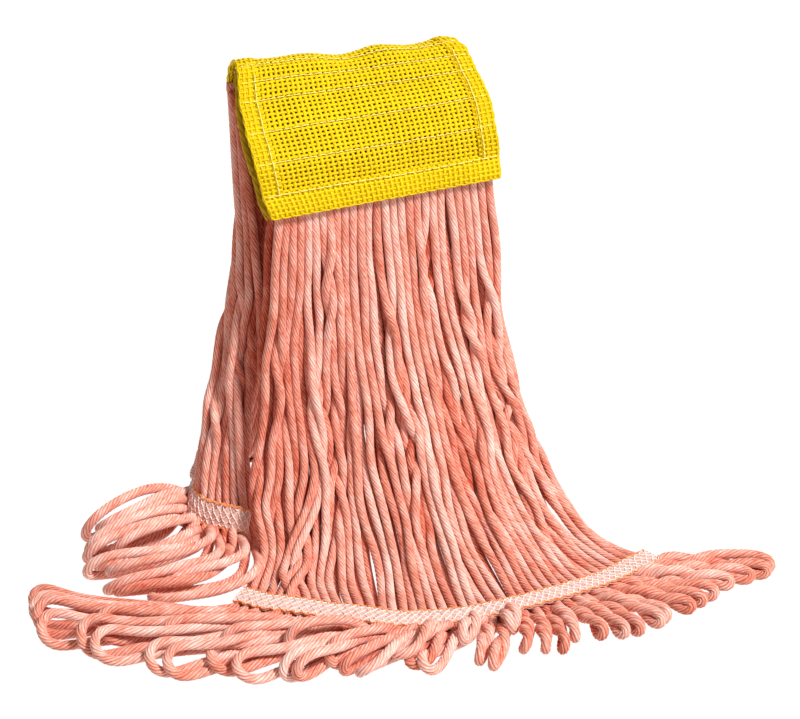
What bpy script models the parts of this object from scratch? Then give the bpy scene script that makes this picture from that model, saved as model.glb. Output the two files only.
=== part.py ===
# String mop head: a looped-end yarn mop refill with a five inch mesh headband, standing folded over its own crest.
# Metres, +Z up, X along the headband, the front skirt towards -Y, origin at the bottom centre of the whole object.
#
# The yarn runs as one thick mat: up inside the front of the headband, over the crest, down inside the back, out of both
# hems, through the two tail bands, and round in loops at the floor. Here the mat is cut into hanks that are each one solid.
import math

import bmesh
import bpy
import numpy as np

# ---------------------------------------------------------------- driving dimensions
HEAD_W = 0.150            # width of the headband, across the strings
BAND_H = 0.1275           # height of the headband along the strings, 5 inches, over the crest
MESH_T = 0.0010           # thickness of the woven mesh
YARN_D = 0.0053           # one four-ply string
COLUMNS = 28              # strings side by side
LAYERS = 3                # strings one behind the other
MAT_T = 0.0130            # the mat of yarn, pressed, at the hems
CREST_T = 0.0078          # the mat of yarn where it is creased at the crest
CREST_R = 0.0120          # outer radius of the headband's crest
SKIRT_L = 0.285           # string length from a hem to its tail band
FRONT_WAVE = 1.16         # most that a front string's run exceeds the straight line: the rest of it goes in small waves
BACK_WAVE = 1.012         # the same at the back, where the strings hang almost straight
TAIL_T = 0.0078           # the mat of yarn at the tail band
TAIL_W = 0.0155           # width of the tail band tape
TAPE_T = 0.0010           # thickness of the tail band tape
TAPE_UP = 0.0011          # how far the tape's middle stands over the sloping mat below it
THREAD_W = 0.0013         # width of the tail band's coloured edge thread
STITCH_W = 0.0016         # width of a row of lock stitching on the headband
STITCH_T = 0.0006
HEM_W = 0.0120            # width of the doubled hem down each side of the headband
HEM_UP = 0.0003           # how far the doubled hem stands over the panel
FRINGE_T = 0.0098         # height of the looped fringe as it lies on the floor
HANKS = 8                 # hanks that each skirt is divided into
GAP = 0.0003              # clearance between touching pieces
HINGE_R = 0.0064          # half thickness of a skirt at its hinge
FRAME = (0.03853, 0.04054) # where the headband's middle stands from the middle of the object's footprint

# The front of the headband in side view (y, z): the hem flares off the yarn, the panel leans back up to the crest.
PANEL = [(-0.0430, 0.2130), (-0.0388, 0.2230), (-0.0352, 0.2428), (-0.0228, 0.2578), (-0.01964, 0.26123), (-0.0098, 0.2712),
         (0.0018, 0.2842)]
PANEL_LEAN = math.radians(41.0)   # lean of the panel where it meets the crest
BACK_LEAN = math.radians(160.0)   # lean of the back panel, past the crest
FRONT_HINGE = (-0.0334, 0.2086)   # (y, z) of the line the front skirt swings about, in the middle of the mat
TAIL_Z = 0.0100                   # top of the yarn at the tail bands

# Plan shapes (x, y) of the tail bands and of the outer edges of the looped fringes, from the left end to the right end.
TAIL_FRONT = [(-0.134, -0.124), (-0.116, -0.145), (-0.092, -0.167), (-0.058, -0.191), (-0.018, -0.203), (0.023, -0.206),
              (0.067, -0.201), (0.111, -0.189)]
TAIL_BACK = [(-0.104, -0.056), (-0.117, -0.040), (-0.1245, -0.0235), (-0.1225, -0.007), (-0.112, 0.008), (-0.096, 0.023),
             (-0.072, 0.040), (-0.042, 0.056), (-0.008, 0.068), (0.028, 0.072), (0.062, 0.070)]
TIPS_FRONT = [(-0.243, -0.074), (-0.260, -0.096), (-0.250, -0.130), (-0.222, -0.162), (-0.182, -0.192), (-0.135, -0.224),
              (-0.080, -0.246), (-0.025, -0.255), (0.025, -0.260), (0.072, -0.262), (0.120, -0.246), (0.158, -0.238),
              (0.183, -0.222)]
# The back fringe is parted: its first quarter is swept to the left, the rest lies behind.
PARTING = 0.25
TIPS_BACK = [(-0.196, -0.082), (-0.211, -0.064), (-0.209, -0.046), (-0.194, -0.028), (-0.182, -0.014)]
TIPS_BEHIND = [(-0.066, 0.104), (-0.038, 0.128), (-0.008, 0.152), (0.028, 0.176), (0.062, 0.180), (0.092, 0.172), (0.115, 0.155)]

for old in list(bpy.data.objects):
    bpy.data.objects.remove(old, do_unlink=True)


# ---------------------------------------------------------------- curves
def spline(points, t):
    """Points of a Catmull-Rom curve through the given points, at t from 0 to 1."""
    p = np.asarray(points, float)
    n = len(p) - 1
    q = np.vstack([2 * p[0] - p[1], p, 2 * p[-1] - p[-2]])
    x = np.clip(np.asarray(t, float), 0, 1) * n
    i = np.minimum(x.astype(int), n - 1)
    f = (x - i)[..., None]
    a, b, c, d = q[i], q[i + 1], q[i + 2], q[i + 3]
    return 0.5 * (2 * b + (c - a) * f + (2 * a - 5 * b + 4 * c - d) * f ** 2 + (3 * b - a - 3 * c + d) * f ** 3)


def measure(points):
    return float(np.linalg.norm(np.diff(points, axis=0), axis=1).sum())


def even(points, n):
    """The same polyline with n points at equal distances."""
    p = np.asarray(points, float)
    s = np.r_[0, np.cumsum(np.linalg.norm(np.diff(p, axis=0), axis=1))]
    q = np.linspace(0, s[-1], n)
    return np.stack([np.interp(q, s, p[:, k]) for k in range(p.shape[1])], -1)


def along(points, u):
    """The point at the fraction u of the length of the smooth curve through the given points."""
    d = even(spline(points, np.linspace(0, 1, 240)), 401)
    x = min(max(u, 0.0), 1.0) * 400
    i = min(int(x), 399)
    return d[i] * (1 - (x - i)) + d[i + 1] * (x - i)


def fall(reach, drop, run):
    """A string that falls by drop and spreads out by reach, with the given length: steep above, flat at the floor."""
    t = np.linspace(0, math.pi / 2, 60)
    low, high = 1.05, 9.0
    for _ in range(40):
        e = 2.0 / (0.5 * (low + high))
        r = reach * (1 - np.cos(t) ** e)
        z = drop * (1 - np.sin(t) ** e)
        if measure(np.stack([r, z], -1)) < run:
            low = 0.5 * (low + high)
        else:
            high = 0.5 * (low + high)
    return r, z


def front_string(u, n):
    """Outer surface of the front skirt at the fraction u of its width, from the hinge level to the tail band."""
    tail = along(TAIL_FRONT, u)
    top = np.array([HEAD_W * (u - 0.5), FRONT_HINGE[0] - HINGE_R])
    reach = float(np.linalg.norm(tail - top))
    drop = FRONT_HINGE[1] - TAIL_Z
    r, z = fall(reach, drop, min(SKIRT_L, FRONT_WAVE * math.hypot(reach, drop)))
    k = r / reach
    side = k ** (0.65 + 1.75 * u)
    return even(np.c_[top[0] + (tail[0] - top[0]) * side, top[1] + (tail[1] - top[1]) * k, TAIL_Z + z], n)


def back_string(u, n):
    """Outer surface of the back skirt, which hangs almost straight and wraps round the left side."""
    tail = along(TAIL_BACK, u)
    top = np.array([HEAD_W * (u - 0.5), BACK_HINGE[0] + HINGE_R])
    reach = float(np.linalg.norm(tail - top))
    drop = BACK_HINGE[1] - TAIL_Z - 0.002
    r, z = fall(reach, drop, BACK_WAVE * math.hypot(reach, drop))
    k = r / reach
    return even(np.c_[top[0] + (tail[0] - top[0]) * k ** 0.85, top[1] + (tail[1] - top[1]) * k ** 0.85,
                      TAIL_Z + 0.002 + z], n)


# ---------------------------------------------------------------- the headband in side view
def band_path():
    """Outer face of the headband from the front hem over the crest to the back hem: points, inward normals, run."""
    start = np.array(PANEL[-1])
    inward = np.array([math.cos(PANEL_LEAN), -math.sin(PANEL_LEAN)])
    centre = start + CREST_R * inward
    panel = np.vstack([np.linspace(a, b, 3)[:2] for a, b in zip(PANEL, PANEL[1:])] + [start])
    turn = np.linspace(PANEL_LEAN, BACK_LEAN, 11)[1:]
    crest = np.stack([centre[0] - CREST_R * np.cos(turn), centre[1] + CREST_R * np.sin(turn)], -1)
    p = np.vstack([panel, crest])
    rest = BAND_H - measure(p)
    p = np.vstack([p, crest[-1] + rest * np.array([math.sin(BACK_LEAN), math.cos(BACK_LEAN)])])
    return p, centre


BAND, CREST = band_path()
APEX = np.array([CREST[0], CREST[1] + CREST_R])
BACK_END = BAND[-1]
BACK_HINGE = (float(BACK_END[0]) - 0.0006 - HINGE_R, float(BACK_END[1]) - 0.0052)


def offset_path(path, depth):
    """The path moved inwards by depth, one value per point."""
    t = np.gradient(path, axis=0)
    t /= np.linalg.norm(t, axis=1)[:, None]
    return path + np.stack([t[:, 1], -t[:, 0]], -1) * np.asarray(depth)[:, None]


def mat_thickness(path):
    """The mat's thickness along the headband: full at both hems, creased thin at the crest."""
    s = np.r_[0, np.cumsum(np.linalg.norm(np.diff(path, axis=0), axis=1))]
    i = int(np.argmin(np.abs(path[:, 0] - APEX[0]) + (path[:, 1] < APEX[1] - 0.004)))
    front = np.clip((s[i] - s) / 0.045, 0, 1)
    back = np.clip((s - s[i]) / 0.026, 0, 1)
    k = np.where(s < s[i], front, back)
    k = k * k * (3 - 2 * k)
    return CREST_T + (MAT_T - CREST_T) * k


def cut_at_apex(path, front):
    """The part of a side-view path in front of, or behind, the plane through the apex, ending on that plane."""
    side = APEX[0] - GAP / 2 if front else APEX[0] + GAP / 2
    top = [i for i in range(len(path) - 1) if (path[i][0] - side) * (path[i + 1][0] - side) <= 0]
    i = max(top, key=lambda j: path[j][1])
    f = (side - path[i][0]) / (path[i + 1][0] - path[i][0])
    meet = path[i] * (1 - f) + path[i + 1] * f
    return np.vstack([path[:i + 1], meet]) if front else np.vstack([meet, path[i + 1:]])


# ---------------------------------------------------------------- solids
def material(name, colour, rough, sheen=0.0):
    m = bpy.data.materials.new(name)
    m.use_nodes = True
    b = m.node_tree.nodes["Principled BSDF"]
    b.inputs["Base Color"].default_value = (*colour, 1.0)
    b.inputs["Roughness"].default_value = rough
    b.inputs["Metallic"].default_value = 0.0
    b.inputs["Sheen Weight"].default_value = sheen
    return m


def finish(name, bm, mat, parent, sharp=35.0):
    bmesh.ops.translate(bm, verts=bm.verts, vec=(FRAME[0], FRAME[1], 0.0))
    bmesh.ops.recalc_face_normals(bm, faces=bm.faces)
    mesh = bpy.data.meshes.new(name)
    bm.to_mesh(mesh)
    bm.free()
    mesh.shade_smooth()
    mesh.set_sharp_from_angle(angle=math.radians(sharp))
    ob = bpy.data.objects.new(name, mesh)
    ob.data.materials.append(mat)
    bpy.context.collection.objects.link(ob)
    # the origin goes to the parent's pivot, and the mesh is moved back by as much
    ob.parent = parent
    for v in mesh.vertices:
        v.co = v.co - parent.location
    return ob


def loft(sections, closed_pairs):
    """One closed solid through cross-sections of equal point counts. Each section is a ring; its ends are capped by
    joining the points named in closed_pairs, two by two."""
    bm = bmesh.new()
    rings = [[bm.verts.new(tuple(p)) for p in s] for s in sections]
    n = len(rings[0])
    for a, b in zip(rings, rings[1:]):
        for j in range(n):
            quad(bm, a[j], a[(j + 1) % n], b[(j + 1) % n], b[j])
    for ring in (rings[0], rings[-1]):
        for (i, j), (k, m) in zip(closed_pairs, closed_pairs[1:]):
            quad(bm, ring[i], ring[j], ring[m], ring[k])
    return bm


def quad(bm, a, b, c, d):
    """A quad as two triangles, so that a bent one is still an exact solid."""
    for tri in ((a, b, c), (a, c, d)):
        if len({v.index if v.index >= 0 else id(v) for v in tri}) == 3 and len(set(map(id, tri))) == 3:
            if bm.faces.get(tri) is None:
                bm.faces.new(tri)


def extrude_profile(name, outer, inner, x0, x1, mat, parent):
    """A curved sheet across the headband: a side-view strip between two paths, extruded along X."""
    n = len(outer)
    bm = bmesh.new()
    ring = [bm.verts.new((x0, p[0], p[1])) for p in list(outer) + list(inner)[::-1]]
    faces = [bm.faces.new((ring[i], ring[i + 1], ring[2 * n - 2 - i], ring[2 * n - 1 - i])) for i in range(n - 1)]
    out = bmesh.ops.extrude_face_region(bm, geom=faces)
    moved = [g for g in out["geom"] if isinstance(g, bmesh.types.BMVert)]
    bmesh.ops.translate(bm, verts=moved, vec=(x1 - x0, 0.0, 0.0))
    return finish(name, bm, mat, parent)


def hemmed_sheet(name, outer, inner, mat, parent):
    """The panel's mesh sheet, which stands a little higher along its doubled side hems."""
    up = offset_path(outer, np.full(len(outer), -HEM_UP))
    edge = half - HEM_W
    sections = []
    for o, u, i in zip(outer, up, inner):
        xs = (-half, -edge - 0.0002, -edge, edge, edge + 0.0002, half)
        top = [(x, *(o if k in (2, 3) else u)) for k, x in enumerate(xs)]
        sections.append([*top, *[(x, *i) for x in xs][::-1]])
    return finish(name, loft(sections, [(k, 11 - k) for k in range(6)]), mat, parent)


def skirt_grid(string, u0, u1, columns, rows):
    """Outer surface points [column][row] and their outward normals."""
    us = np.linspace(u0, u1, columns)
    p = np.array([string(u, rows) for u in us])
    e = 0.01
    lo = np.array([string(max(u - e, 0.0), rows) for u in us])
    hi = np.array([string(min(u + e, 1.0), rows) for u in us])
    du = hi - lo
    dv = np.gradient(p, axis=1)
    nrm = np.cross(du, dv)
    nrm /= np.linalg.norm(nrm, axis=2)[..., None]
    return p, nrm


def hank(name, string, hinge, outward, u0, u1, mat, parent, rows=15, columns=4):
    """One hank of the skirt, round at the top about the swing axis and spread thin at the tail band."""
    p, nrm = skirt_grid(string, u0, u1, columns, rows)
    if np.mean(nrm[:, 1, 1]) * outward < 0:
        nrm = -nrm
    v = np.linspace(0, 1, rows)
    thick = 2 * HINGE_R + (TAIL_T - 2 * HINGE_R) * np.clip((v - 0.10) / 0.75, 0, 1) ** 0.8
    lift = np.clip(v / 0.10, 0, 1)[:, None]
    sections = []
    for c in range(columns):
        flat = np.array([0.0, outward, 0.0])
        n = nrm[c] * lift + flat * (1 - lift)
        n /= np.linalg.norm(n, axis=1)[:, None]
        outer = p[c].copy()
        inner = outer - n * thick[:, None]
        inner[:, 2] = np.maximum(inner[:, 2], TAPE_T + 2 * GAP)
        x = outer[0, 0]
        cap = [(x, hinge[0] + outward * HINGE_R * math.sin(a), hinge[1] + HINGE_R * math.cos(a))
               for a in (math.radians(-60), math.radians(-30), 0.0, math.radians(30), math.radians(60))]
        sections.append([*cap, *outer, *inner[::-1]])
    n = 5 + 2 * rows
    pairs = [(2, 2), (1, 3), (0, 4)] + [(n - 1 - i, 5 + i) for i in range(rows)]
    return finish(name, loft(sections, pairs), mat, parent)


def tip_at(tips, u):
    """The end of the loop at u: on one curve, or on two where the fringe is parted."""
    if not isinstance(tips, tuple):
        return along(tips, u)
    parting, first, rest = tips
    return along(first, u / parting) if u < parting else along(rest, (u - parting) / (1 - parting))


def square_out(tail, tips, u):
    """The level direction square to the tail band at u, away from the strings."""
    t = along(tail, min(u + 0.01, 1.0)) - along(tail, max(u - 0.01, 0.0))
    n = np.array([-t[1], t[0]]) / np.linalg.norm(t)
    return n if n @ (tip_at(tips, u) - along(tail, u)) > 0 else -n


def fringe(name, tail, tips, u0, u1, mat, parent, columns=4, rows=7):
    """The loops of one hank beyond the tail band, as they lie on the floor: flat below, rounded at the loop ends."""
    sections = []
    for c in range(columns):
        u = u0 + (u1 - u0) * c / (columns - 1)
        a, b = along(tail, u), tip_at(tips, u)
        out = (b - a) / np.linalg.norm(b - a)
        a = a + out * GAP
        bulge = 1.0 - 0.035 * (2 * c / (columns - 1) - 1) ** 2
        slant = max(0.12, float(out @ square_out(tail, tips, u)))
        k = min(0.85, (TAIL_W / 2 + 0.0024) / slant / float(np.linalg.norm(b - a)))
        w = np.r_[0.0, k, k + 0.04 + (0.96 - k) * np.array([0.0, 0.45, 0.75, 0.92, 1.0])]
        tall = np.array([0.86, 0.95, 1.0, 1.0, 0.98, 0.80, 0.42]) * FRINGE_T
        floor = np.array([1.0, 1.0, 0.0, 0.0, 0.0, 0.0, 0.0]) * (TAPE_T + 2 * GAP)
        top = [(*(a + (b - a) * bulge * f), h) for f, h in zip(w, tall)]
        low = [(x, y, h) for (x, y, _), h in zip(top, floor)]
        sections.append([*top, *low[::-1]])
    n = 2 * rows
    pairs = [(i, n - 1 - i) for i in range(rows)]
    return finish(name, loft(sections, pairs), mat, parent)


def strip(name, line, mat, parent):
    """A tape or thread: cross-sections of four points along a line."""
    n = len(line[0])
    return finish(name, loft(line, [(i, n - 1 - i) for i in range(n // 2)]), mat, parent)


def on_tape(string, tail, tips, u, w, height):
    """The point at the distance w across the tail band (minus is up the strings) and at a height over the yarn."""
    if w >= 0:
        return np.array([*(along(tail, u) + square_out(tail, tips, u) * w), string(u, 15)[-1][2] + height])
    s = string(u, 15)[::-1]
    left = -w
    for p, q in zip(s, s[1:]):
        step = float(np.linalg.norm(q - p))
        if left <= step:
            t = (q - p) / step
            n = np.array([0.0, 0.0, 1.0]) - t[2] * t
            return p + t * left + n / np.linalg.norm(n) * height
        left -= step
    return s[-1]


def tape_line(string, tail, tips, w0, w1, t0, t1, n, ends=0.0):
    """Cross-sections of a tape or thread over the tail band, from w0 to w1 across it and between two heights."""
    out = []
    for u in np.linspace(ends, 1 - ends, n):
        across = [w0, 0.0, w1] if w0 < 0 < w1 else [w0, w1]
        low = [on_tape(string, tail, tips, u, w, t0) for w in across]
        high = [on_tape(string, tail, tips, u, w, t1) for w in across]
        out.append(low + high[::-1])
    return out


def under_line(tail, tips, w0, w1, z0, z1, n):
    """Cross-sections of the tape under the yarn, flat on the floor side."""
    out = []
    for u in np.linspace(0, 1, n):
        a, t = along(tail, u), square_out(tail, tips, u)
        out.append([np.array([*(a + t * w), z]) for w, z in ((w0, z0), (w1, z0), (w1, z1), (w0, z1))])
    return out


# ---------------------------------------------------------------- bodies
def pivot(name, yz, parent=None):
    e = bpy.data.objects.new(name, None)
    e.empty_display_size = 0.02
    e.location = (FRAME[0], FRAME[1] + yz[0], yz[1])
    bpy.context.collection.objects.link(e)
    return e


head_front = pivot("pivot_headband_front", (float(APEX[0]), float(APEX[1])))
head_back = pivot("pivot_headband_back", (float(APEX[0]), float(APEX[1])))
swing_front = pivot("pivot_front_skirt", FRONT_HINGE)
swing_back = pivot("pivot_back_skirt", BACK_HINGE)
bpy.context.view_layer.update()

YARN = material("pink_yarn", (0.78, 0.33, 0.24), 0.92, 0.3)
YARN_IN = material("pink_yarn_in_band", (0.62, 0.22, 0.15), 0.95)
MESH = material("yellow_mesh", (0.86, 0.72, 0.02), 0.62)
MESH_IN = material("yellow_mesh_inside", (0.70, 0.58, 0.02), 0.66)
THREAD = material("pale_stitching", (0.95, 0.86, 0.35), 0.6)
TAPE = material("flecked_tape", (0.88, 0.70, 0.64), 0.85)
TAPE_IN = material("flecked_tape_inside", (0.80, 0.60, 0.54), 0.88)
ORANGE = material("orange_thread", (0.90, 0.28, 0.05), 0.7)

# ---------------------------------------------------------------- headband
half = HEAD_W / 2
mat_t = mat_thickness(BAND)
mesh_in = offset_path(BAND, np.full(len(BAND), MESH_T))
core_out = offset_path(BAND, np.full(len(BAND), MESH_T + GAP))
core_in = offset_path(BAND, MESH_T + GAP + mat_t)
lining_out = offset_path(BAND, MESH_T + 2 * GAP + mat_t)
lining_in = offset_path(BAND, 2 * MESH_T + 2 * GAP + mat_t)



def level_end(line):
    """A side-view line ended at the level just above the front skirt's round top."""
    low = FRONT_HINGE[1] + HINGE_R + 0.0006
    i = int(np.argmax(line[:, 1] > low + 0.0004))
    a, b = line[i], line[i + 1]
    y = a[0] + (b[0] - a[0]) * (low - a[1]) / (b[1] - a[1])
    return np.vstack([[y, low], line[i:]])


def cut_level(line, y):
    """The mat's outer line behind the crest, ended at the level just above the skirt's round top."""
    low = BACK_HINGE[1] + HINGE_R + 0.0006
    keep = line[(line[:, 1] > low + 0.0008) | (line[:, 0] < float(APEX[0]))]
    return np.vstack([keep, [min(y, keep[-1][0] + 0.0035), low]])


def band_piece(name, outer, inner, front, mat, parent, inset=0.0, n=20):
    a, b = cut_at_apex(outer, front), cut_at_apex(inner, front)
    if n:
        a, b = even(a, n), even(b, n)
    else:
        m = min(len(a), len(b)) - 1
        a, b = np.vstack([a[:m], a[-1]]), np.vstack([b[:m], b[-1]])
        return hemmed_sheet(name, a, b, mat, parent)
    return extrude_profile(name, a, b, -half + inset, half - inset, mat, parent)


def back_line(depth, y):
    """Behind the crest the mat drops from the apex plane to a level cut just above the skirt's round top."""
    y0, z0 = float(APEX[0]), float(APEX[1]) - depth
    low = BACK_HINGE[1] + HINGE_R + 0.0006
    return np.vstack([[y0 - 0.001, z0], spline([(y0, z0), (y0 + 0.45 * (y - y0), z0 - 0.05 * (z0 - low)),
                      (y0 + 0.88 * (y - y0), z0 - 0.38 * (z0 - low)), (y, low)], np.linspace(0, 1, 14))])


core_y = BACK_HINGE[0] + HINGE_R - 0.0004
band_piece("headband_outer_mesh_front", BAND, mesh_in, True, MESH, head_front, n=0)
band_piece("headband_outer_mesh_back", BAND, mesh_in, False, MESH, head_back, n=10)
band_piece("yarn_core_front", level_end(core_out), level_end(core_in), True, YARN_IN, head_front, inset=0.0012, n=36)
depth = MESH_T + GAP
band_piece("yarn_core_back", cut_level(core_out, core_y), back_line(depth + CREST_T, core_y - MAT_T + 0.0006), False, YARN_IN,
           head_back, inset=0.0012, n=10)
band_piece("headband_inner_mesh_front", level_end(lining_out), level_end(lining_in), True, MESH_IN, head_front, n=36)
band_piece("headband_inner_mesh_back", back_line(depth + CREST_T + GAP, core_y - MAT_T + 0.0002),
           back_line(depth + CREST_T + GAP + MESH_T, core_y - MAT_T - 0.0010), False, MESH_IN, head_back, n=10)


def stitch_row(name, run, parent, x0=-half + 0.001, x1=half - 0.001):
    """A row of lock stitching that lies on the outer mesh across the headband, at a distance along it from the front hem."""
    s = np.r_[0, np.cumsum(np.linalg.norm(np.diff(BAND, axis=0), axis=1))]
    at = [np.array([np.interp(run + d, s, BAND[:, k]) for k in (0, 1)]) for d in (-STITCH_W / 2, STITCH_W / 2)]
    t = (at[1] - at[0]) / np.linalg.norm(at[1] - at[0])
    out = np.array([-t[1], t[0]])
    rings = []
    for x in (x0, x1):
        rings.append([(x, *(p + out * h)) for p, h in ((at[0], 0.0006), (at[1], 0.0006), (at[1], 0.0006 + STITCH_T),
                                                      (at[0], 0.0006 + STITCH_T))])
    return finish(name, loft(rings, [(0, 3), (1, 2)]), THREAD, parent)


RUNS = (0.0135, 0.0325, 0.0520, 0.0712, 0.0825, 0.0925)
for i, run in enumerate(RUNS):
    stitch_row("front_hem_stitching" if i == 0 else f"headband_stitch_row_{i}", run, head_front)
stitch_row("back_hem_stitching", BAND_H - 0.0070, head_back)


def side_stitch(name, x, parent):
    """The stitching down a side hem, which follows the panel from above the hem stitching to below the crest."""
    s = np.r_[0, np.cumsum(np.linalg.norm(np.diff(BAND, axis=0), axis=1))]
    at = np.array([[np.interp(r, s, BAND[:, k]) for k in (0, 1)] for r in np.linspace(0.0155, 0.0860, 30)])
    t = np.gradient(at, axis=0)
    t /= np.linalg.norm(t, axis=1)[:, None]
    out = np.stack([-t[:, 1], t[:, 0]], -1)
    rings = []
    for p, o in zip(at, out):
        a, b = p + o * (0.0006 + STITCH_T + GAP), p + o * (0.0006 + 2 * STITCH_T + GAP)
        rings.append([(x - STITCH_W / 2, *a), (x + STITCH_W / 2, *a), (x + STITCH_W / 2, *b), (x - STITCH_W / 2, *b)])
    return finish(name, loft(rings, [(0, 3), (1, 2)]), THREAD, parent)


side_stitch("left_side_hem_stitching", -half + 0.0095, head_front)
side_stitch("right_side_hem_stitching", half - 0.0095, head_front)

# ---------------------------------------------------------------- skirts
SLIT = 0.0032             # half the slit between two hanks, as a fraction of the skirt's width
for label, string, hinge, outward, tail, tips, parent in (
        ("front", front_string, FRONT_HINGE, -1.0, TAIL_FRONT, TIPS_FRONT, swing_front),
        ("back", back_string, BACK_HINGE, 1.0, TAIL_BACK, (PARTING, TIPS_BACK, TIPS_BEHIND), swing_back)):
    for i in range(HANKS):
        u0 = i / HANKS + (SLIT if i else 0.0)
        u1 = (i + 1) / HANKS - (SLIT if i < HANKS - 1 else 0.0)
        hank(f"{label}_string_hank_{i + 1}", string, hinge, outward, u0, u1, YARN, parent)
        fringe(f"{label}_loop_fringe_{i + 1}", tail, tips, u0, u1, YARN, parent)
    h = TAIL_W / 2
    over = TAPE_UP + TAPE_T + GAP
    strip(f"{label}_tail_band_outer", tape_line(string, tail, tips, -h, h, TAPE_UP, TAPE_UP + TAPE_T, 25), TAPE, parent)
    strip(f"{label}_tail_band_inner", under_line(tail, tips, -h, h, GAP, GAP + TAPE_T, 25), TAPE_IN, parent)
    strip(f"{label}_tail_band_thread_upper",
          tape_line(string, tail, tips, -h, -h + THREAD_W, over, over + 0.0006, 25, 0.004), ORANGE, parent)
    strip(f"{label}_tail_band_thread_lower",
          tape_line(string, tail, tips, h - THREAD_W, h, over, over + 0.0006, 25, 0.004), ORANGE, parent)
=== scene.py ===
# The looks of the string mop head: every string is a real four-ply tube, laid out and relaxed here, sewn into an open
# mesh headband and through two flecked tail bands. Metres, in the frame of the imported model.
import math

import bpy
import numpy as np
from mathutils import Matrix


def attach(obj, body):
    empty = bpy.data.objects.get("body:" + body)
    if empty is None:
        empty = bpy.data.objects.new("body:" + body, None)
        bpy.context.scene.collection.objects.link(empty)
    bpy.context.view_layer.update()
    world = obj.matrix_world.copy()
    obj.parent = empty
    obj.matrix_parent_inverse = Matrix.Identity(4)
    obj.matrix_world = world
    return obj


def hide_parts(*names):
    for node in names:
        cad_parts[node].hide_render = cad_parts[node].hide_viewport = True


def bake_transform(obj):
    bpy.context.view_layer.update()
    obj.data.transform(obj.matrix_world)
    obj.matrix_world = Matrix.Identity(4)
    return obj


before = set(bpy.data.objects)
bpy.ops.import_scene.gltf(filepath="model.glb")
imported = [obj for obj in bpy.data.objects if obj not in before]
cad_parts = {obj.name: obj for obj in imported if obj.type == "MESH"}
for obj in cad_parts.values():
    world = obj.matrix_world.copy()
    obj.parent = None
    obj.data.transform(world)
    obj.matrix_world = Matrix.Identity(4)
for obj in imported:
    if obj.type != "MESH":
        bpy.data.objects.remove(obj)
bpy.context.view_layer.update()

# ------------------------------------------------------------------ camera
# 25.4 degrees to the left of square on, 26 above the horizon, two metres away
PSI, ELEV, DIST, AIM = math.radians(25.4), math.radians(26.0), 2.0, np.array([0.0695, 0.0405, 0.079])
cam_data = bpy.data.cameras.new("camera")
cam_data.sensor_width, cam_data.lens = 36.0, 140.4
cam_data.clip_start, cam_data.clip_end = 0.05, 40.0
cam = bpy.data.objects.new("camera", cam_data)
bpy.context.scene.collection.objects.link(cam)
back = np.array([-math.sin(PSI) * math.cos(ELEV), -math.cos(PSI) * math.cos(ELEV), math.sin(ELEV)])
cam.location = AIM + DIST * back
from mathutils import Vector
cam.rotation_mode = "QUATERNION"
cam.rotation_quaternion = Vector(-back).to_track_quat("-Z", "Y")
bpy.context.scene.camera = cam

# ------------------------------------------------------------------ the design's own numbers
FX, FY = 0.03853, 0.04054          # middle of the headband in the frame's plan
HEAD_W, BAND_H, MESH_T, YARN_D, COLUMNS, LAYERS = 0.150, 0.1275, 0.0010, 0.0053, 28, 3
MAT_T, CREST_T, CREST_R = 0.0130, 0.0078, 0.0120
SKIRT_L, FRONT_WAVE, BACK_WAVE, TAIL_T, TAIL_W = 0.285, 1.16, 1.012, 0.0078, 0.0155
HINGE_R, TAIL_Z, GAP = 0.0064, 0.0100, 0.0003
PANEL = [(-0.0430, 0.2130), (-0.0388, 0.2230), (-0.0352, 0.2428), (-0.0228, 0.2578), (-0.01964, 0.26123), (-0.0098, 0.2712),
         (0.0018, 0.2842)]
PANEL_LEAN, BACK_LEAN = math.radians(41.0), math.radians(160.0)
FRONT_HINGE = (-0.0334, 0.2086)
TAIL_FRONT = [(-0.134, -0.124), (-0.116, -0.145), (-0.092, -0.167), (-0.058, -0.191), (-0.018, -0.203), (0.023, -0.206),
              (0.067, -0.201), (0.111, -0.189)]
TAIL_BACK = [(-0.104, -0.056), (-0.117, -0.040), (-0.1245, -0.0235), (-0.1225, -0.007), (-0.112, 0.008), (-0.096, 0.023),
             (-0.072, 0.040), (-0.042, 0.056), (-0.008, 0.068), (0.028, 0.072), (0.062, 0.070)]
TIPS_FRONT = [(-0.243, -0.074), (-0.260, -0.096), (-0.250, -0.130), (-0.222, -0.162), (-0.182, -0.192), (-0.135, -0.224),
              (-0.080, -0.246), (-0.025, -0.255), (0.025, -0.260), (0.072, -0.262), (0.120, -0.246), (0.158, -0.238),
              (0.183, -0.222)]
PARTING = 0.31                     # the back fringe is parted here: its first part is swept to the left
TIPS_BACK = [(-0.196, -0.082), (-0.211, -0.064), (-0.209, -0.046), (-0.194, -0.028), (-0.182, -0.014)]
TIPS_BEHIND = [(-0.036, 0.112), (-0.016, 0.134), (0.006, 0.156), (0.032, 0.174), (0.062, 0.180), (0.092, 0.172), (0.115, 0.155)]
RUNS = (0.0135, 0.0325, 0.0520, 0.0712, 0.0825, 0.0925)
R = YARN_D / 2
PITCH = 0.0270                     # one full turn of the four plies
STEP = 0.0040                      # spacing of the points that the relaxation moves
rng = np.random.default_rng(20)


# ------------------------------------------------------------------ curves
def spline(points, t):
    p = np.asarray(points, float)
    n = len(p) - 1
    q = np.vstack([2 * p[0] - p[1], p, 2 * p[-1] - p[-2]])
    x = np.clip(np.asarray(t, float), 0, 1) * n
    i = np.minimum(x.astype(int), n - 1)
    f = (x - i)[..., None]
    a, b, c, d = q[i], q[i + 1], q[i + 2], q[i + 3]
    return 0.5 * (2 * b + (c - a) * f + (2 * a - 5 * b + 4 * c - d) * f ** 2 + (3 * b - a - 3 * c + d) * f ** 3)


def measure(p):
    return float(np.linalg.norm(np.diff(p, axis=0), axis=1).sum())


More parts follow.
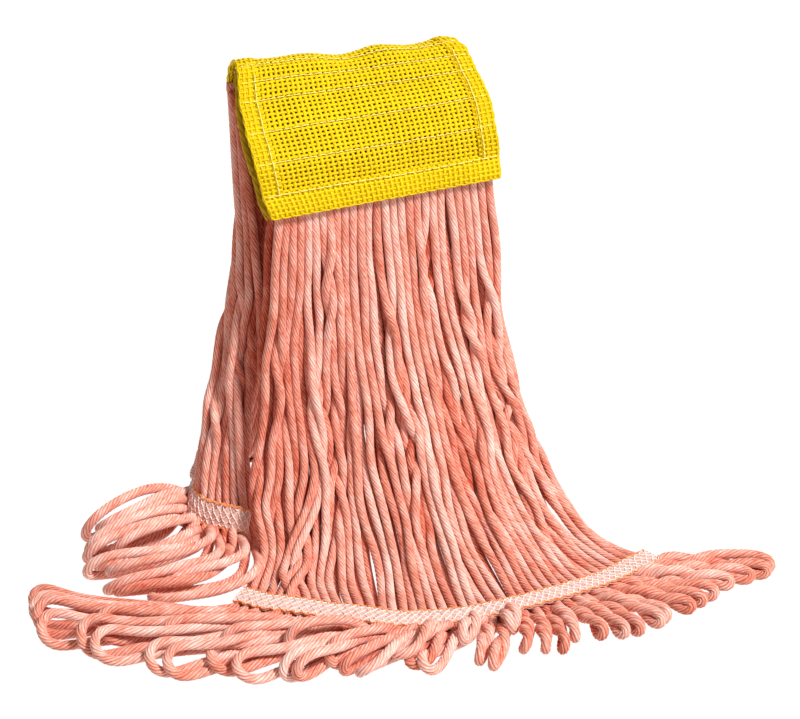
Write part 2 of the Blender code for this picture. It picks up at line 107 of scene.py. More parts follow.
def runs(p):
    return np.r_[0, np.cumsum(np.linalg.norm(np.diff(np.asarray(p, float), axis=0), axis=1))]


def even(points, n):
    p = np.asarray(points, float)
    s = runs(p)
    q = np.linspace(0, s[-1], n)
    return np.stack([np.interp(q, s, p[:, k]) for k in range(p.shape[1])], -1)


_dense = {}


def along(points, u):
    """Points at the fractions u of the length of the smooth curve through the given points; it runs on past its ends."""
    key = id(points)
    if key not in _dense:
        _dense[key] = even(spline(points, np.linspace(0, 1, 600)), 801)
    d = _dense[key]
    x = np.asarray(u, float) * 800
    i = np.clip(np.floor(x).astype(int), 0, 799)
    f = (x - i)[..., None]
    return d[i] * (1 - f) + d[i + 1] * f


def fall(reach, drop, run):
    t = np.linspace(0, math.pi / 2, 60)
    low, high = 1.05, 9.0
    for _ in range(40):
        e = 2.0 / (0.5 * (low + high))
        r = reach * (1 - np.cos(t) ** e)
        z = drop * (1 - np.sin(t) ** e)
        if measure(np.stack([r, z], -1)) < run:
            low = 0.5 * (low + high)
        else:
            high = 0.5 * (low + high)
    return r, z


def front_string(u, n):
    tail = along(TAIL_FRONT, min(max(u, 0.0), 1.0))
    top = np.array([HEAD_W * (u - 0.5), FRONT_HINGE[0] - HINGE_R])
    reach = float(np.linalg.norm(tail - top))
    drop = FRONT_HINGE[1] - TAIL_Z
    r, z = fall(reach, drop, min(SKIRT_L, FRONT_WAVE * math.hypot(reach, drop)))
    k = r / reach
    side = k ** (0.65 + 1.75 * u)
    return even(np.c_[top[0] + (tail[0] - top[0]) * side, top[1] + (tail[1] - top[1]) * k, TAIL_Z + z], n)


def back_string(u, n):
    tail = along(TAIL_BACK, min(max(u, 0.0), 1.0))
    top = np.array([HEAD_W * (u - 0.5), BACK_HINGE[0] + HINGE_R])
    reach = float(np.linalg.norm(tail - top))
    drop = BACK_HINGE[1] - TAIL_Z - 0.002
    r, z = fall(reach, drop, BACK_WAVE * math.hypot(reach, drop))
    k = r / reach
    return even(np.c_[top[0] + (tail[0] - top[0]) * k ** 0.85, top[1] + (tail[1] - top[1]) * k ** 0.85,
                      TAIL_Z + 0.002 + z], n)


def band_path():
    start = np.array(PANEL[-1])
    inward = np.array([math.cos(PANEL_LEAN), -math.sin(PANEL_LEAN)])
    centre = start + CREST_R * inward
    panel = np.array(PANEL)
    turn = np.linspace(PANEL_LEAN, BACK_LEAN, 21)[1:]
    crest = np.stack([centre[0] - CREST_R * np.cos(turn), centre[1] + CREST_R * np.sin(turn)], -1)
    p = np.vstack([panel, crest])
    rest = BAND_H - measure(p)
    return np.vstack([p, crest[-1] + rest * np.array([math.sin(BACK_LEAN), math.cos(BACK_LEAN)])]), centre


BAND, CREST = band_path()
APEX = np.array([CREST[0], CREST[1] + CREST_R])
BACK_END = BAND[-1]
BACK_HINGE = (float(BACK_END[0]) - 0.0006 - HINGE_R, float(BACK_END[1]) - 0.0052)
BAND_S = runs(BAND)
APEX_S = float(np.interp(APEX[0], BAND[:, 0], BAND_S))


def band_at(s):
    """Side-view points of the headband's outer face at the run s from the front hem, with their outward normals. The corners
    between its straight stretches are rounded."""
    s = np.asarray(s, float)
    fine = np.linspace(0, BAND_S[-1], 500)
    p = np.stack([np.interp(fine, BAND_S, BAND[:, k]) for k in (0, 1)], -1)
    pad = np.vstack([2 * p[0] - p[16:0:-1], p, 2 * p[-1] - p[-2:-18:-1]])
    w = np.hanning(19)[1:-1]
    w /= w.sum()
    p = np.stack([np.convolve(pad[:, k], w, "same")[16:-16] for k in (0, 1)], -1)
    t = np.gradient(p, axis=0)
    t /= np.linalg.norm(t, axis=1)[:, None]
    n = np.stack([-t[:, 1], t[:, 0]], -1)
    q = [np.interp(s, fine, a) for a in (p[:, 0], p[:, 1], n[:, 0], n[:, 1])]
    return np.stack(q[:2], -1), np.stack(q[2:], -1)


def mat_at(s):
    """Thickness of the mat of yarn inside the headband."""
    k = np.where(s < APEX_S, np.clip((APEX_S - s) / 0.045, 0, 1), np.clip((s - APEX_S) / 0.026, 0, 1))
    k = k * k * (3 - 2 * k)
    return CREST_T + (MAT_T - CREST_T) * k


# ------------------------------------------------------------------ smooth noise
def wave_noise(x, seed, lengths=(0.09, 0.05, 0.03), weights=(1.0, 0.6, 0.35)):
    """Smooth noise along x in metres, about -1 to 1, different for each seed; x and seed broadcast."""
    g = np.random.default_rng(seed)
    out = 0.0
    for length, w in zip(lengths, weights):
        out = out + w * np.sin(2 * math.pi * (x / (length * g.uniform(0.8, 1.25)) + g.uniform()))
    return out / sum(weights)


# ------------------------------------------------------------------ relaxation of the strings
class Yarns:
    """Chains of points a few millimetres apart: each keeps its spacing and its gentle bends, rests on the floor, keeps clear
    of every other chain, and stays near where the design puts it."""

    def __init__(self):
        self.chains, self.fixed, self.pull = [], [], []

    def add(self, points, fixed, pull):
        self.chains.append(points)
        self.fixed.append(fixed)
        self.pull.append(pull)
        return len(self.chains) - 1

    def relax(self, rounds, floor, seed=3):
        self.start = np.r_[0, np.cumsum([len(c) for c in self.chains])]
        p = np.vstack(self.chains).astype(float)
        home = p.copy()
        fixed = np.concatenate(self.fixed)
        pull = np.concatenate(self.pull)[:, None]
        chain = np.repeat(np.arange(len(self.chains)), np.diff(self.start))
        n = len(p)
        free = np.where(fixed, 0.0, 1.0)
        a = np.flatnonzero(chain[:-1] == chain[1:])
        b = a + 1
        rest = np.linalg.norm(home[b] - home[a], axis=1)
        mid = np.flatnonzero((chain[:-2] == chain[2:])) + 1
        share = free[a] + free[b]
        wa = np.where(share > 0, free[a] / np.maximum(share, 1), 0)[:, None]
        wb = np.where(share > 0, free[b] / np.maximum(share, 1), 0)[:, None]
        index = np.arange(n)
        pairs = None
        reach = YARN_D * 1.0
        for k in range(rounds):
            if k % 8 == 0:
                pairs = near_pairs(p, reach + 0.0022)
                ok = (chain[pairs[0]] != chain[pairs[1]]) | (np.abs(index[pairs[0]] - index[pairs[1]]) > 3)
                pairs = (pairs[0][ok], pairs[1][ok])
            late = k / rounds
            # towards home, weakly
            p += (home - p) * (pull * free[:, None]) * (1.0 - 0.75 * late)
            p[:, 2] -= 0.00002 * free
            # gentle bends
            m = 0.5 * (p[mid - 1] + p[mid + 1]) - p[mid]
            p[mid] += m * 0.22 * free[mid][:, None]
            # clear of each other
            i, j = pairs
            d = p[j] - p[i]
            far = np.sqrt((d * d).sum(1))
            hit = far < reach
            i, j, d, far = i[hit], j[hit], d[hit], np.maximum(far[hit], 1e-6)
            push = d / far[:, None] * ((reach - far) * 0.5)[:, None]
            move = np.stack([np.bincount(j, push[:, c], n) - np.bincount(i, push[:, c], n) for c in range(3)], -1)
            count = np.bincount(i, minlength=n) + np.bincount(j, minlength=n)
            p += move / np.maximum(1.0, 0.45 * count)[:, None] * free[:, None]
            # keep the spacing along each string
            for _ in range(2):
                d = p[b] - p[a]
                far = np.maximum(np.linalg.norm(d, axis=1), 1e-6)
                c = d * ((far - rest) / far)[:, None] * 0.5
                fix = np.zeros_like(p)
                fix[a] += c * wa * 2
                fix[b] -= c * wb * 2
                p += fix * 0.5
            p[:, 2] = np.where(free > 0, np.maximum(p[:, 2], floor), p[:, 2])
        self.points = p
        return [p[self.start[q]:self.start[q + 1]] for q in range(len(self.chains))]


def near_pairs(p, reach):
    """Every pair of points closer than reach, each once, by sorting them into cells."""
    c = np.floor((p - p.min(0)) / reach).astype(np.int64) + 1
    size = c.max(0) + 2
    key = (c[:, 0] * size[1] + c[:, 1]) * size[2] + c[:, 2]
    order = np.argsort(key, kind="stable")
    ks = key[order]
    out_i, out_j = [], []
    for dx in (-1, 0, 1):
        for dy in (-1, 0, 1):
            for dz in (-1, 0, 1):
                shift = (dx * size[1] + dy) * size[2] + dz
                if shift < 0:
                    continue
                lo = np.searchsorted(ks, ks + shift, "left")
                hi = np.searchsorted(ks, ks + shift, "right")
                if shift == 0:
                    lo = np.maximum(lo, np.arange(len(ks)) + 1)
                count = np.maximum(hi - lo, 0)
                i = np.repeat(np.arange(len(ks)), count)
                first = np.cumsum(count) - count
                j = np.arange(count.sum()) - np.repeat(first, count) + np.repeat(lo, count)
                out_i.append(order[i])
                out_j.append(order[j])
    i, j = np.concatenate(out_i), np.concatenate(out_j)
    d = p[i] - p[j]
    ok = (d * d).sum(1) < reach * reach
    return i[ok], j[ok]


# ------------------------------------------------------------------ routes of the strings
def grid(string, us, n):
    p = np.array([string(float(u), n) for u in us])
    du = np.gradient(p, axis=0)
    dv = np.gradient(p, axis=1)
    nrm = np.cross(du, dv)
    nrm /= np.linalg.norm(nrm, axis=2)[..., None]
    side = du / np.linalg.norm(du, axis=2)[..., None]
    return p, nrm, side


class Skirt:
    def __init__(self, label, string, hinge, outward, tail, tips, seed):
        self.label, self.hinge, self.outward, self.tail, self.tips = label, hinge, outward, tail, tips
        self.rng = np.random.default_rng(seed)
        self.us = np.linspace(0, 1, 61)
        self.rows = 90
        self.p, self.n, self.side = grid(string, self.us, self.rows)
        if np.mean(self.n[:, 1, 1]) * outward < 0:
            self.n = -self.n
        self.seed = seed
        self.top_order = None

    def at(self, u, v, field):
        """Bilinear value of a field of the surface at u across and v down it; it runs on past the sides."""
        x = np.asarray(u) * (len(self.us) - 1)
        i = np.clip(np.floor(x).astype(int), 0, len(self.us) - 2)
        f = (x - i)[:, None]
        y = np.clip(np.asarray(v), 0, 1) * (self.rows - 1)
        j = np.minimum(y.astype(int), self.rows - 2)
        g = (y - j)[:, None]
        return (field[i, j] * (1 - f) + field[i + 1, j] * f) * (1 - g) + (field[i, j + 1] * (1 - f) + field[i + 1, j + 1] * f) * g

    def tip(self, u):
        if not isinstance(self.tips, tuple):
            return along(self.tips, u)
        if u < PARTING:
            return along(self.tips[0], u / PARTING) + np.array([0.008, -0.012]) * max(0.0, 1 - u / 0.12)
        return along(self.tips[0], u / PARTING) if u < PARTING else along(self.tips[1], (u - PARTING) / (1 - PARTING))

    def band_frame(self, u):
        """The tail band at u: its middle, the way down across it, and the way out of its face."""
        u = np.atleast_1d(np.asarray(u, float))
        e = 0.006
        t = along(self.tail, np.minimum(u + e, 1.0)) - along(self.tail, np.maximum(u - e, 0.0))
        t /= np.linalg.norm(t, axis=1)[:, None]
        sq = np.stack([t[:, 1], -t[:, 0]], -1) if self.label == "front" else np.stack([-t[:, 1], t[:, 0]], -1)
        if self.label == "front":
            slope = np.radians(2.0 + 4.0 * np.sin(5.0 * u + 1.0))
            z = 0.0112 + 0.0016 * np.sin(7.0 * u) ** 2
        else:
            k = np.clip((u - 0.22) / 0.2, 0, 1)
            slope = np.radians(64.0 - 28.0 * k * k * (3 - 2 * k))
            z = 0.0118 + 0.5 * TAIL_W * np.sin(slope) - 0.0015 * k
        mid = np.c_[along(self.tail, u), z]
        if self.label == "back":
            mid[:, 0] += 0.0045 * np.clip((0.35 - u) / 0.1, 0, 1)
        down = np.c_[sq * np.cos(slope)[:, None], -np.sin(slope)]
        face = np.c_[sq * np.sin(slope)[:, None], np.cos(slope)]
        return mid, down, face

    def push(self, u, v):
        """How far the design's smooth surface is moved along the headband to give the skirt its uneven outline."""
        if self.label == "back":
            k = np.clip(1 - u / 0.10, 0, 1)
            return k * np.interp(v, [0, 0.10, 0.3, 0.6, 1], [0.0055, 0.0008, -0.0006, 0, 0])
        right = np.interp(v, [0, 0.08, 0.17, 0.25, 0.42, 0.5, 0.58, 0.67, 0.75, 0.83, 1],
                          [0.003, 0.005, 0.0064, 0.0080, 0.0097, 0.0092, 0.0082, 0.0066, 0.0034, 0.0006, -0.0006])
        left = np.interp(v, [0, 0.08, 0.25, 0.33, 0.5, 0.58, 0.67, 0.76, 0.84, 0.92, 1],
                         [0.0045, 0.004, 0.002, 0.0008, 0.0045, 0.0020, 0.0032, 0.0100, 0.0080, 0.0040, 0.0])
        return right * np.clip((u - 0.45) / 0.55, 0, 1) ** 1.3 + left * np.clip(1 - u / 0.30, 0, 1) ** 1.2

    def legs(self):
        """One route for each of the 84 string legs, from the hem to the middle of the tail band."""
        out = []
        total = COLUMNS * LAYERS
        front = self.label == "front"
        for k in range(total):
            c, layer = divmod(k, LAYERS)
            layer = (layer * 2 + c) % 3 if front else (layer + c) % 3
            u0 = (c + 0.5 + (0.0, 0.35, -0.35)[layer] * 0.9) / COLUMNS * 0.985 + 0.0075
            u1 = (k + 0.5) / total
            v = np.linspace(0, 1, self.rows)
            blend = v * v * (3 - 2 * v)
            u = u0 + (u1 - u0) * blend
            line = self.at(u, v, self.p)
            length = measure(line)
            s = v * length
            d = length - s
            hem = np.clip(s / 0.030, 0, 1)
            hem = hem * hem * (3 - 2 * hem)
            tail = np.clip(d / 0.040, 0, 1)
            tail = tail * tail * (3 - 2 * tail)
            calm = hem * tail
            # the strings wander sideways, some over their neighbours, and together in slower waves
            own = wave_noise(s, self.seed * 1000 + k, (0.13, 0.07, 0.040), (1.0, 0.5, 0.2)) * 0.0018
            near = wave_noise(s + 0.6 * u1, self.seed * 77 + k // 3, (0.15, 0.08), (1, 0.6)) * 0.0018
            slow = wave_noise(u1 * 0.42 + 0.30 * s, self.seed * 31 + 9, (0.11, 0.06), (1, 0.8)) * 0.0036
            clump = np.sin(2 * math.pi * (u1 * 9.5 + 0.9 * wave_noise(s, self.seed * 13, (0.3, 0.2), (1, 1)))) * 0.0016
            if front:
                clump = clump * (1 + 3.2 * np.clip((u1 - 0.80) / 0.1, 0, 1) * np.clip(1 - np.abs(v - 0.62) / 0.25, 0, 1))
            lateral = (own + near + slow + clump) * calm * (1.0 if front else 0.85)
            lateral = lateral + self.spare_waves(d, length, SKIRT_L - length, u1)
            depth = R + layer * (HINGE_R - R) * (1 - blend) + blend * (0.0042 if k % 2 == 0 else 0.0)
            lift = wave_noise(s, self.seed * 500 + 3 * k, (0.10, 0.055), (1, 0.5)) * 0.0024
            depth = depth + lift * calm
            q = line - self.at(u, v, self.n) * depth[:, None] + self.at(u, v, self.side) * lateral[:, None]
            q[:, 0] += self.push(u1, v)
            if not front:
                side = np.clip(1 - u1 / 0.06, 0, 1) * np.clip(1 - v / 0.10, 0, 1)
                q[:, 0] -= 0.0055 * side
                q[:, 2] += 0.0100 * side
            if not front:
                j0 = int(0.30 * self.rows)
                f = ((v[j0:] - v[j0]) / (1 - v[j0]))[:, None]
                chord = q[j0] * (1 - f) + q[-1] * f
                m = 0.80 * float(np.interp(u1, [0.09, 0.155, 0.40, 0.52], [0, 1, 1, 0]))
                q[j0:] = q[j0:] * (1 - m) + chord * m
            if not front and u1 < 0.16:
                # the side strings of the back skirt fill the open side of the fold
                bow = (0.006 + 0.0085 * layer) * (1 - u1 / 0.16) * np.sin(math.pi * np.clip(v / 0.62, 0, 1)) ** 0.8
                q[:, 1] -= bow
            mid, down, face = (x[0] for x in self.band_frame(u1))
            under = 0.0076 if k % 2 == 0 else 0.0034
            w = np.clip(1 - d / 0.034, 0, 1)
            w = (w * w * (3 - 2 * w))[:, None]
            straight = mid - down * d[:, None] - face * under
            q = q * (1 - w) + straight * w
            q[:, 2] = np.maximum(q[:, 2], R + 0.0004 + (0.0 if k % 2 == 0 else 0.003))
            out.append((k, c, layer, u0, u1, k % 2 == 0, q))
        return out

    def spare_waves(self, d, length, spare, u):
        """Sideways waves that take up the string's spare length by the tail band; d is the distance from the band."""
        if spare < 0.0015 or self.label == "back":
            return np.zeros_like(d)
        if u < 0.13:
            wave, amp, sign = 0.062, 0.0078, 1.0
        else:
            wave, amp, sign = 0.135 + 0.02 * math.sin(11 * u), 0.0115, 1.0
        k = np.clip((0.82 - u) / 0.25, 0, 1)
        amp = min(amp, wave / math.pi * math.sqrt(spare / (1.1 * wave))) * (0.25 + 0.75 * k)
        amp *= 0.85 + 0.3 * math.sin(37 * u) ** 2
        shape = np.clip(1 - d / (1.15 * wave if wave > 0.1 else 2.2 * wave), 0, 1) ** 0.6
        return -sign * amp * shape * np.sin(2 * math.pi * d / wave + 0.10 * math.sin(23 * u))

    def loops(self):
        """The looped ends: string legs 2i and 2i+1 are one string, which turns round past the tail band. The first leg lies
        over the second, and each loop leans on the next."""
        out = []
        total = COLUMNS * LAYERS
        g = self.rng
        front = self.label == "front"
        for i in range(total // 2):
            ua, ub = (2 * i + 0.5) / total, (2 * i + 1.5) / total
            u = 0.5 * (ua + ub)
            ma, da, fa = (x[0] for x in self.band_frame(ua))
            mb, db, fb = (x[0] for x in self.band_frame(ub))
            a0, b0 = ma - fa * 0.0076, mb - fb * 0.0034
            tip = self.tip(u) + g.normal(0, 0.0028, 2)
            if front:
                tip = tip + np.array([-0.004, 0.013]) * max(0.0, 1 - u / 0.22) + np.array([0.009, 0.0]) * max(0.0, (u - 0.85) / 0.15)
            start = 0.5 * (a0 + b0)[:2]
            way = tip - start
            reach = float(np.linalg.norm(way))
            way /= reach
            lat = np.array([-way[1], way[0]])
            if lat @ (a0[:2] - b0[:2]) < 0:
                lat = -lat
            if front:
                half_w = np.interp(u, [0, 0.06, 0.30, 0.44, 0.56, 0.96, 1.0], [0.0062, 0.0084, 0.0086, 0.0084, 0.0068, 0.0048, 0.0090])
                high = np.interp(u, [0, 0.06, 0.4, 0.65, 0.8, 1.0], [0.020, 0.0285, 0.0260, 0.0190, 0.0155, 0.0135])
                shape = -np.interp(u, [0, 0.3, 0.6, 1.0], [0.16, 0.14, 0.06, 0.10])
                turns = np.interp(u, [0, 0.30, 0.44, 0.56, 0.96, 1.0], [0.0, 0.0, 0.30, 0.75, 0.9, 0.1])
                back_off = (0.0, g.uniform(0.014, 0.030), g.uniform(0.0, 0.008))[i % 3] if 0.04 < u < 0.62 else g.uniform(0.0, 0.006)
            else:
                half_w = np.interp(u, [0, 0.15, 0.31, 0.315, 1.0], [0.0095, 0.0095, 0.0110, 0.0070, 0.0060])
                high = np.interp(u, [0, 0.10, 0.2, 0.31, 0.315, 1.0], [0.018, 0.020, 0.024, 0.032, 0.014, 0.014])
                shape = np.interp(u, [0, 0.12, 0.2, 0.31, 0.315, 1.0], [0.44, 0.32, 0.12, -0.05, 0.0, 0.0])
                turns = np.interp(u, [0, 0.31, 0.35, 1.0], [0.0, 0.0, 0.5, 1.0])
                back_off = (0.0, g.uniform(0.006, 0.018), 0.0)[i % 3]
            half_w *= g.uniform(0.85, 1.15)
            high *= g.uniform(0.88, 1.12)
            raised = 0.0045 if back_off > 0.010 else 0.0
            reach -= back_off
            bow = lat * shape * reach
            low = R + 0.0006
            roll = g.normal(0, 0.22)
            e0a, e0b = a0 + da * 0.0105, b0 + db * 0.0105
            n = max(half_w, 0.0045) / reach

            def at(f, side, forward=0.0):
                """A place on the loop: f of the way to the tip, side from 1 on its first leg to -1 on its second."""
                left = reach * (1 - f)
                if front:
                    grow = np.interp(left, [0.008, 0.015, 0.027, 0.080], [1.0, 0.85, 0.42, 0.36])
                else:
                    grow = np.interp(left, [0.012, 0.040, 0.075], [1.0, 0.96, 0.78])
                w = half_w * grow if turns < 0.3 else max(0.0031, half_w * grow)
                zc = np.interp(f, [0.12, 0.4, 0.62, 1.0], [0.5 * (e0a[2] + e0b[2]), 0.62 * (high + low), 0.62 * (high + low), 0.47 * (high + low)]) + raised
                dz = 0.5 * (high - low) * grow
                dz *= np.interp(turns, [0.0, 0.5], [1.0, 0.15])
                k = np.clip((f - 0.22) / 0.62, 0, 1)
                phi = (2 * math.pi * turns + roll) * k * k * (3 - 2 * k)
                c, sn = math.cos(phi), math.sin(phi)
                across, up = side * (w * c - dz * sn), side * (w * sn + dz * c)
                xy = start + way * (reach * f + forward) + lat * across + bow * 4 * f * (1 - f)
                return np.array([xy[0], xy[1], max(zc + up, low)])

            fr = [0.30, 0.44, 0.58, 0.72, 0.85] if turns >= 0.3 else [0.34, 0.55, 1 - 0.045 / reach, 1 - 0.028 / reach, 1 - 0.016 / reach]
            end = 1.0 - 1.10 * n
            fr = [f for i, f in enumerate(fr) if f >= 0.3 and (i == 0 or f > fr[i - 1] + 0.04)]
            fr = [f for f in fr if f < end - 0.05] + [end]
            eye = max(half_w, 0.0045) * (0.95 if front and u < 0.45 else 1.15)
            pts = [a0, a0 + da * 0.005, e0a]
            pts += [at(f, 1.0) for f in fr]
            pts += [at(end, math.cos(th), eye * math.sin(th)) for th in (0.7, 1.57, 2.44)]
            pts += [at(f, -1.0) for f in fr[::-1]]
            pts += [e0b, b0 + db * 0.005, b0]
            pts = np.array(pts)
            seg = np.r_[0, np.cumsum(np.linalg.norm(np.diff(pts, axis=0), axis=1) ** 0.5)]
            out.append(smooth_through(pts, seg, np.linspace(0, seg[-1], 90)))
        return out


def resample(q, step):
    n = max(4, int(round(measure(q) / step)) + 1)
    return even(q, n)


def band_shift(x, s):
    """How the worn headband differs from its design: pinched in and tipped at the crest, flared at the side hems, and
    waved along the crest. Sideways, upwards, and outwards."""
    k = np.clip(np.asarray(x) / HEAD_W + 0.5, 0, 1)
    s = np.asarray(s, float)
    left = np.interp(s, [0, 0.012, 0.03, 0.05, 0.072, 0.085, 0.099, 0.127],
                     [0.0014, -0.0020, -0.0050, -0.0053, -0.0036, -0.0006, 0.0028, 0.0030])
    right = np.interp(s, [0, 0.015, 0.03, 0.05, 0.07, 0.086, 0.099, 0.127],
                      [0.0032, 0.0044, 0.0034, 0.0054, 0.0034, 0.0012, -0.0036, -0.0036])
    dx = left * (1 - k) ** 1.7 + right * k ** 1.7
    top = np.interp(s, [0, 0.05, 0.099, 0.13], [0, 0.0006, 0.0050, 0.0050])
    low = np.interp(s, [0, 0.06, 0.099, 0.13], [0, 0, -0.0028, -0.0028])
    dz = top * (1 - k) + low * k - 0.0016 * np.clip((k - 0.90) / 0.10, 0, 1) ** 2 * np.interp(s, [0.07, 0.095], [0, 1])
    crest = np.exp(-((s - APEX_S + 0.004) / 0.016) ** 2)
    wave = crest * (-0.0030 * np.exp(-((k - 0.47) / 0.10) ** 2) + 0.0008 * np.exp(-((k - 0.27) / 0.08) ** 2)
                    - 0.0012 * np.exp(-((k - 0.80) / 0.07) ** 2) + 0.0014 * np.exp(-((k - 0.97) / 0.05) ** 2)
                    + 0.0010 * np.exp(-((k - 0.64) / 0.05) ** 2))
    return dx, dz, wave


def in_band(u, layer, n, front=True):
    """A string's route inside the headband, from the front hem over the crest to the back hem."""
    s = np.linspace(-0.004, BAND_H + 0.002, n)
    p, nn = band_at(np.clip(s, 0, BAND_H))
    t = mat_at(np.clip(s, 0, BAND_H))
    depth = MESH_T + 0.0004 + R * 0.85 + layer * (t - 1.7 * R) / 2
    x = np.full(n, HEAD_W * (u - 0.5) * 0.982)
    dx, dz, wave = band_shift(x, s)
    q = p - nn * (depth - wave)[:, None]
    return np.c_[x + dx, q[:, 0], q[:, 1] + dz]


skirts = {"front": Skirt("front", front_string, FRONT_HINGE, -1.0, TAIL_FRONT, TIPS_FRONT, 11),
          "back": Skirt("back", back_string, BACK_HINGE, 1.0, TAIL_BACK, (TIPS_BACK, TIPS_BEHIND), 23)}


def lay_out(label, rounds):
    """The relaxed centre lines of one skirt's 42 strings, each from the hem, through the tail band, round and back."""
    sk = skirts[label]
    legs = sk.legs()
    loops = sk.loops()
    ys = Yarns()
    lines = []
    for i in range(len(loops)):
        a, b = legs[2 * i], legs[2 * i + 1]
        la, lb = resample(a[-1], STEP), resample(b[-1], STEP)
        lo = loops[i].copy()
        lo[0], lo[-1] = la[-1], lb[-1]
        lo = resample(lo, STEP)
        line = np.vstack([la, lo[1:-1], lb[::-1]])
        fixed = np.zeros(len(line), bool)
        fixed[:3] = fixed[-3:] = True
        ia, ib = len(la) - 1, len(line) - len(lb)
        fixed[ia - 1:ia + 2] = True
        fixed[ib - 1:ib + 2] = True
        pull = np.full(len(line), 0.030)
        pull[ia + 2:ib - 1] = 0.014
        ys.add(line, fixed, pull)
        lines.append((ia, ib, a, b))
    done = ys.relax(rounds, R + 0.0002)
    out = []
    for (ia, ib, a, b), q in zip(lines, done):
        q = q.copy()
        for _ in range(3):
            q[1:-1] = q[1:-1] * 0.5 + 0.25 * (q[:-2] + q[2:])
        out.append((q, ia, ib, a, b))
    return out


# ------------------------------------------------------------------ tubes
def frames(c):
    """Tangents and a pair of directions across the line, carried along it without turning."""
    t = np.gradient(c, axis=0)
    t /= np.maximum(np.linalg.norm(t, axis=1), 1e-9)[:, None]
    u = np.zeros_like(c)
    first = np.cross(t[0], (0.3, 0.2, 0.9))
    u[0] = first / np.linalg.norm(first)
    for i in range(1, len(c)):
        v = u[i - 1] - t[i] * (u[i - 1] @ t[i])
        u[i] = v / max(np.linalg.norm(v), 1e-9)
    return t, u, np.cross(t, u)


# one ply is six points: side ridge, groove, middle ridge, groove, side ridge, deep groove between two plies
PLY24 = np.tile([0.975, 0.985, 0.875, 0.985, 0.975, 0.80], 4)
DEEP24 = np.tile([0.0, 0.0, 0.85, 0.0, 0.0, 1.0], 4)
PLY12 = np.tile([0.97, 0.97, 0.84], 4)
DEEP12 = np.tile([0.1, 0.1, 1.0], 4)


def yarn_tube(line, step, sides, phase, radius=R, fat=None, hand=-1.0):
    """Points, quads and shading values of one four-ply string along a line."""
    n = max(6, int(round(measure(line) / step)) + 1)
    s0 = runs(line)
    q = np.linspace(0, s0[-1], n)
    # smooth the polyline: a cubic through its points
    c = smooth_through(line, s0, q)
    t, a, b = frames(c)
    prof, deep = (PLY24, DEEP24) if sides == 24 else (PLY12, DEEP12)
    th = 2 * math.pi * (np.arange(sides) + 0.5) / sides
    turn = hand * 2 * math.pi * q / PITCH + phase + 0.35 * wave_noise(q, int(phase * 1e4) % 99991, (0.07, 0.04), (1, 0.5))
    ang = th[None, :] + turn[:, None]
    swell = 1.0 + 0.035 * wave_noise(q, int(phase * 1e5) % 99971, (0.05, 0.022), (1, 0.7))
    if fat is not None:
        swell = swell * np.interp(q, fat[0], fat[1])
    rr = radius * swell[:, None] * prof[None, :]
    pts = c[:, None, :] + rr[..., None] * (np.cos(ang)[..., None] * a[:, None, :] + np.sin(ang)[..., None] * b[:, None, :])
    flat_ang = np.broadcast_to(th[None, :], rr.shape)
    fib = np.stack([R * np.cos(flat_ang), R * np.sin(flat_ang), np.broadcast_to(q[:, None], rr.shape)], -1)
    groove = np.broadcast_to(deep[None, :], rr.shape)
    i = np.arange(n - 1)[:, None] * sides
    j = np.arange(sides)[None, :]
    j2 = (j + 1) % sides
    quads = np.stack([i + j, i + j2, i + sides + j2, i + sides + j], -1).reshape(-1, 4)
    return pts.reshape(-1, 3), quads, fib.reshape(-1, 3), groove.ravel(), c, sides, n


def smooth_through(p, s, q):
    """Catmull-Rom through the points p at the runs s, read at q."""
    i = np.clip(np.searchsorted(s, q, "right") - 1, 0, len(p) - 2)
    f = ((q - s[i]) / np.maximum(s[i + 1] - s[i], 1e-9))[:, None]
    pad = np.vstack([2 * p[0] - p[1], p, 2 * p[-1] - p[-2]])
    a, b, c, d = pad[i], pad[i + 1], pad[i + 2], pad[i + 3]
    return 0.5 * (2 * b + (c - a) * f + (2 * a - 5 * b + 4 * c - d) * f ** 2 + (3 * b - a - 3 * c + d) * f ** 3)


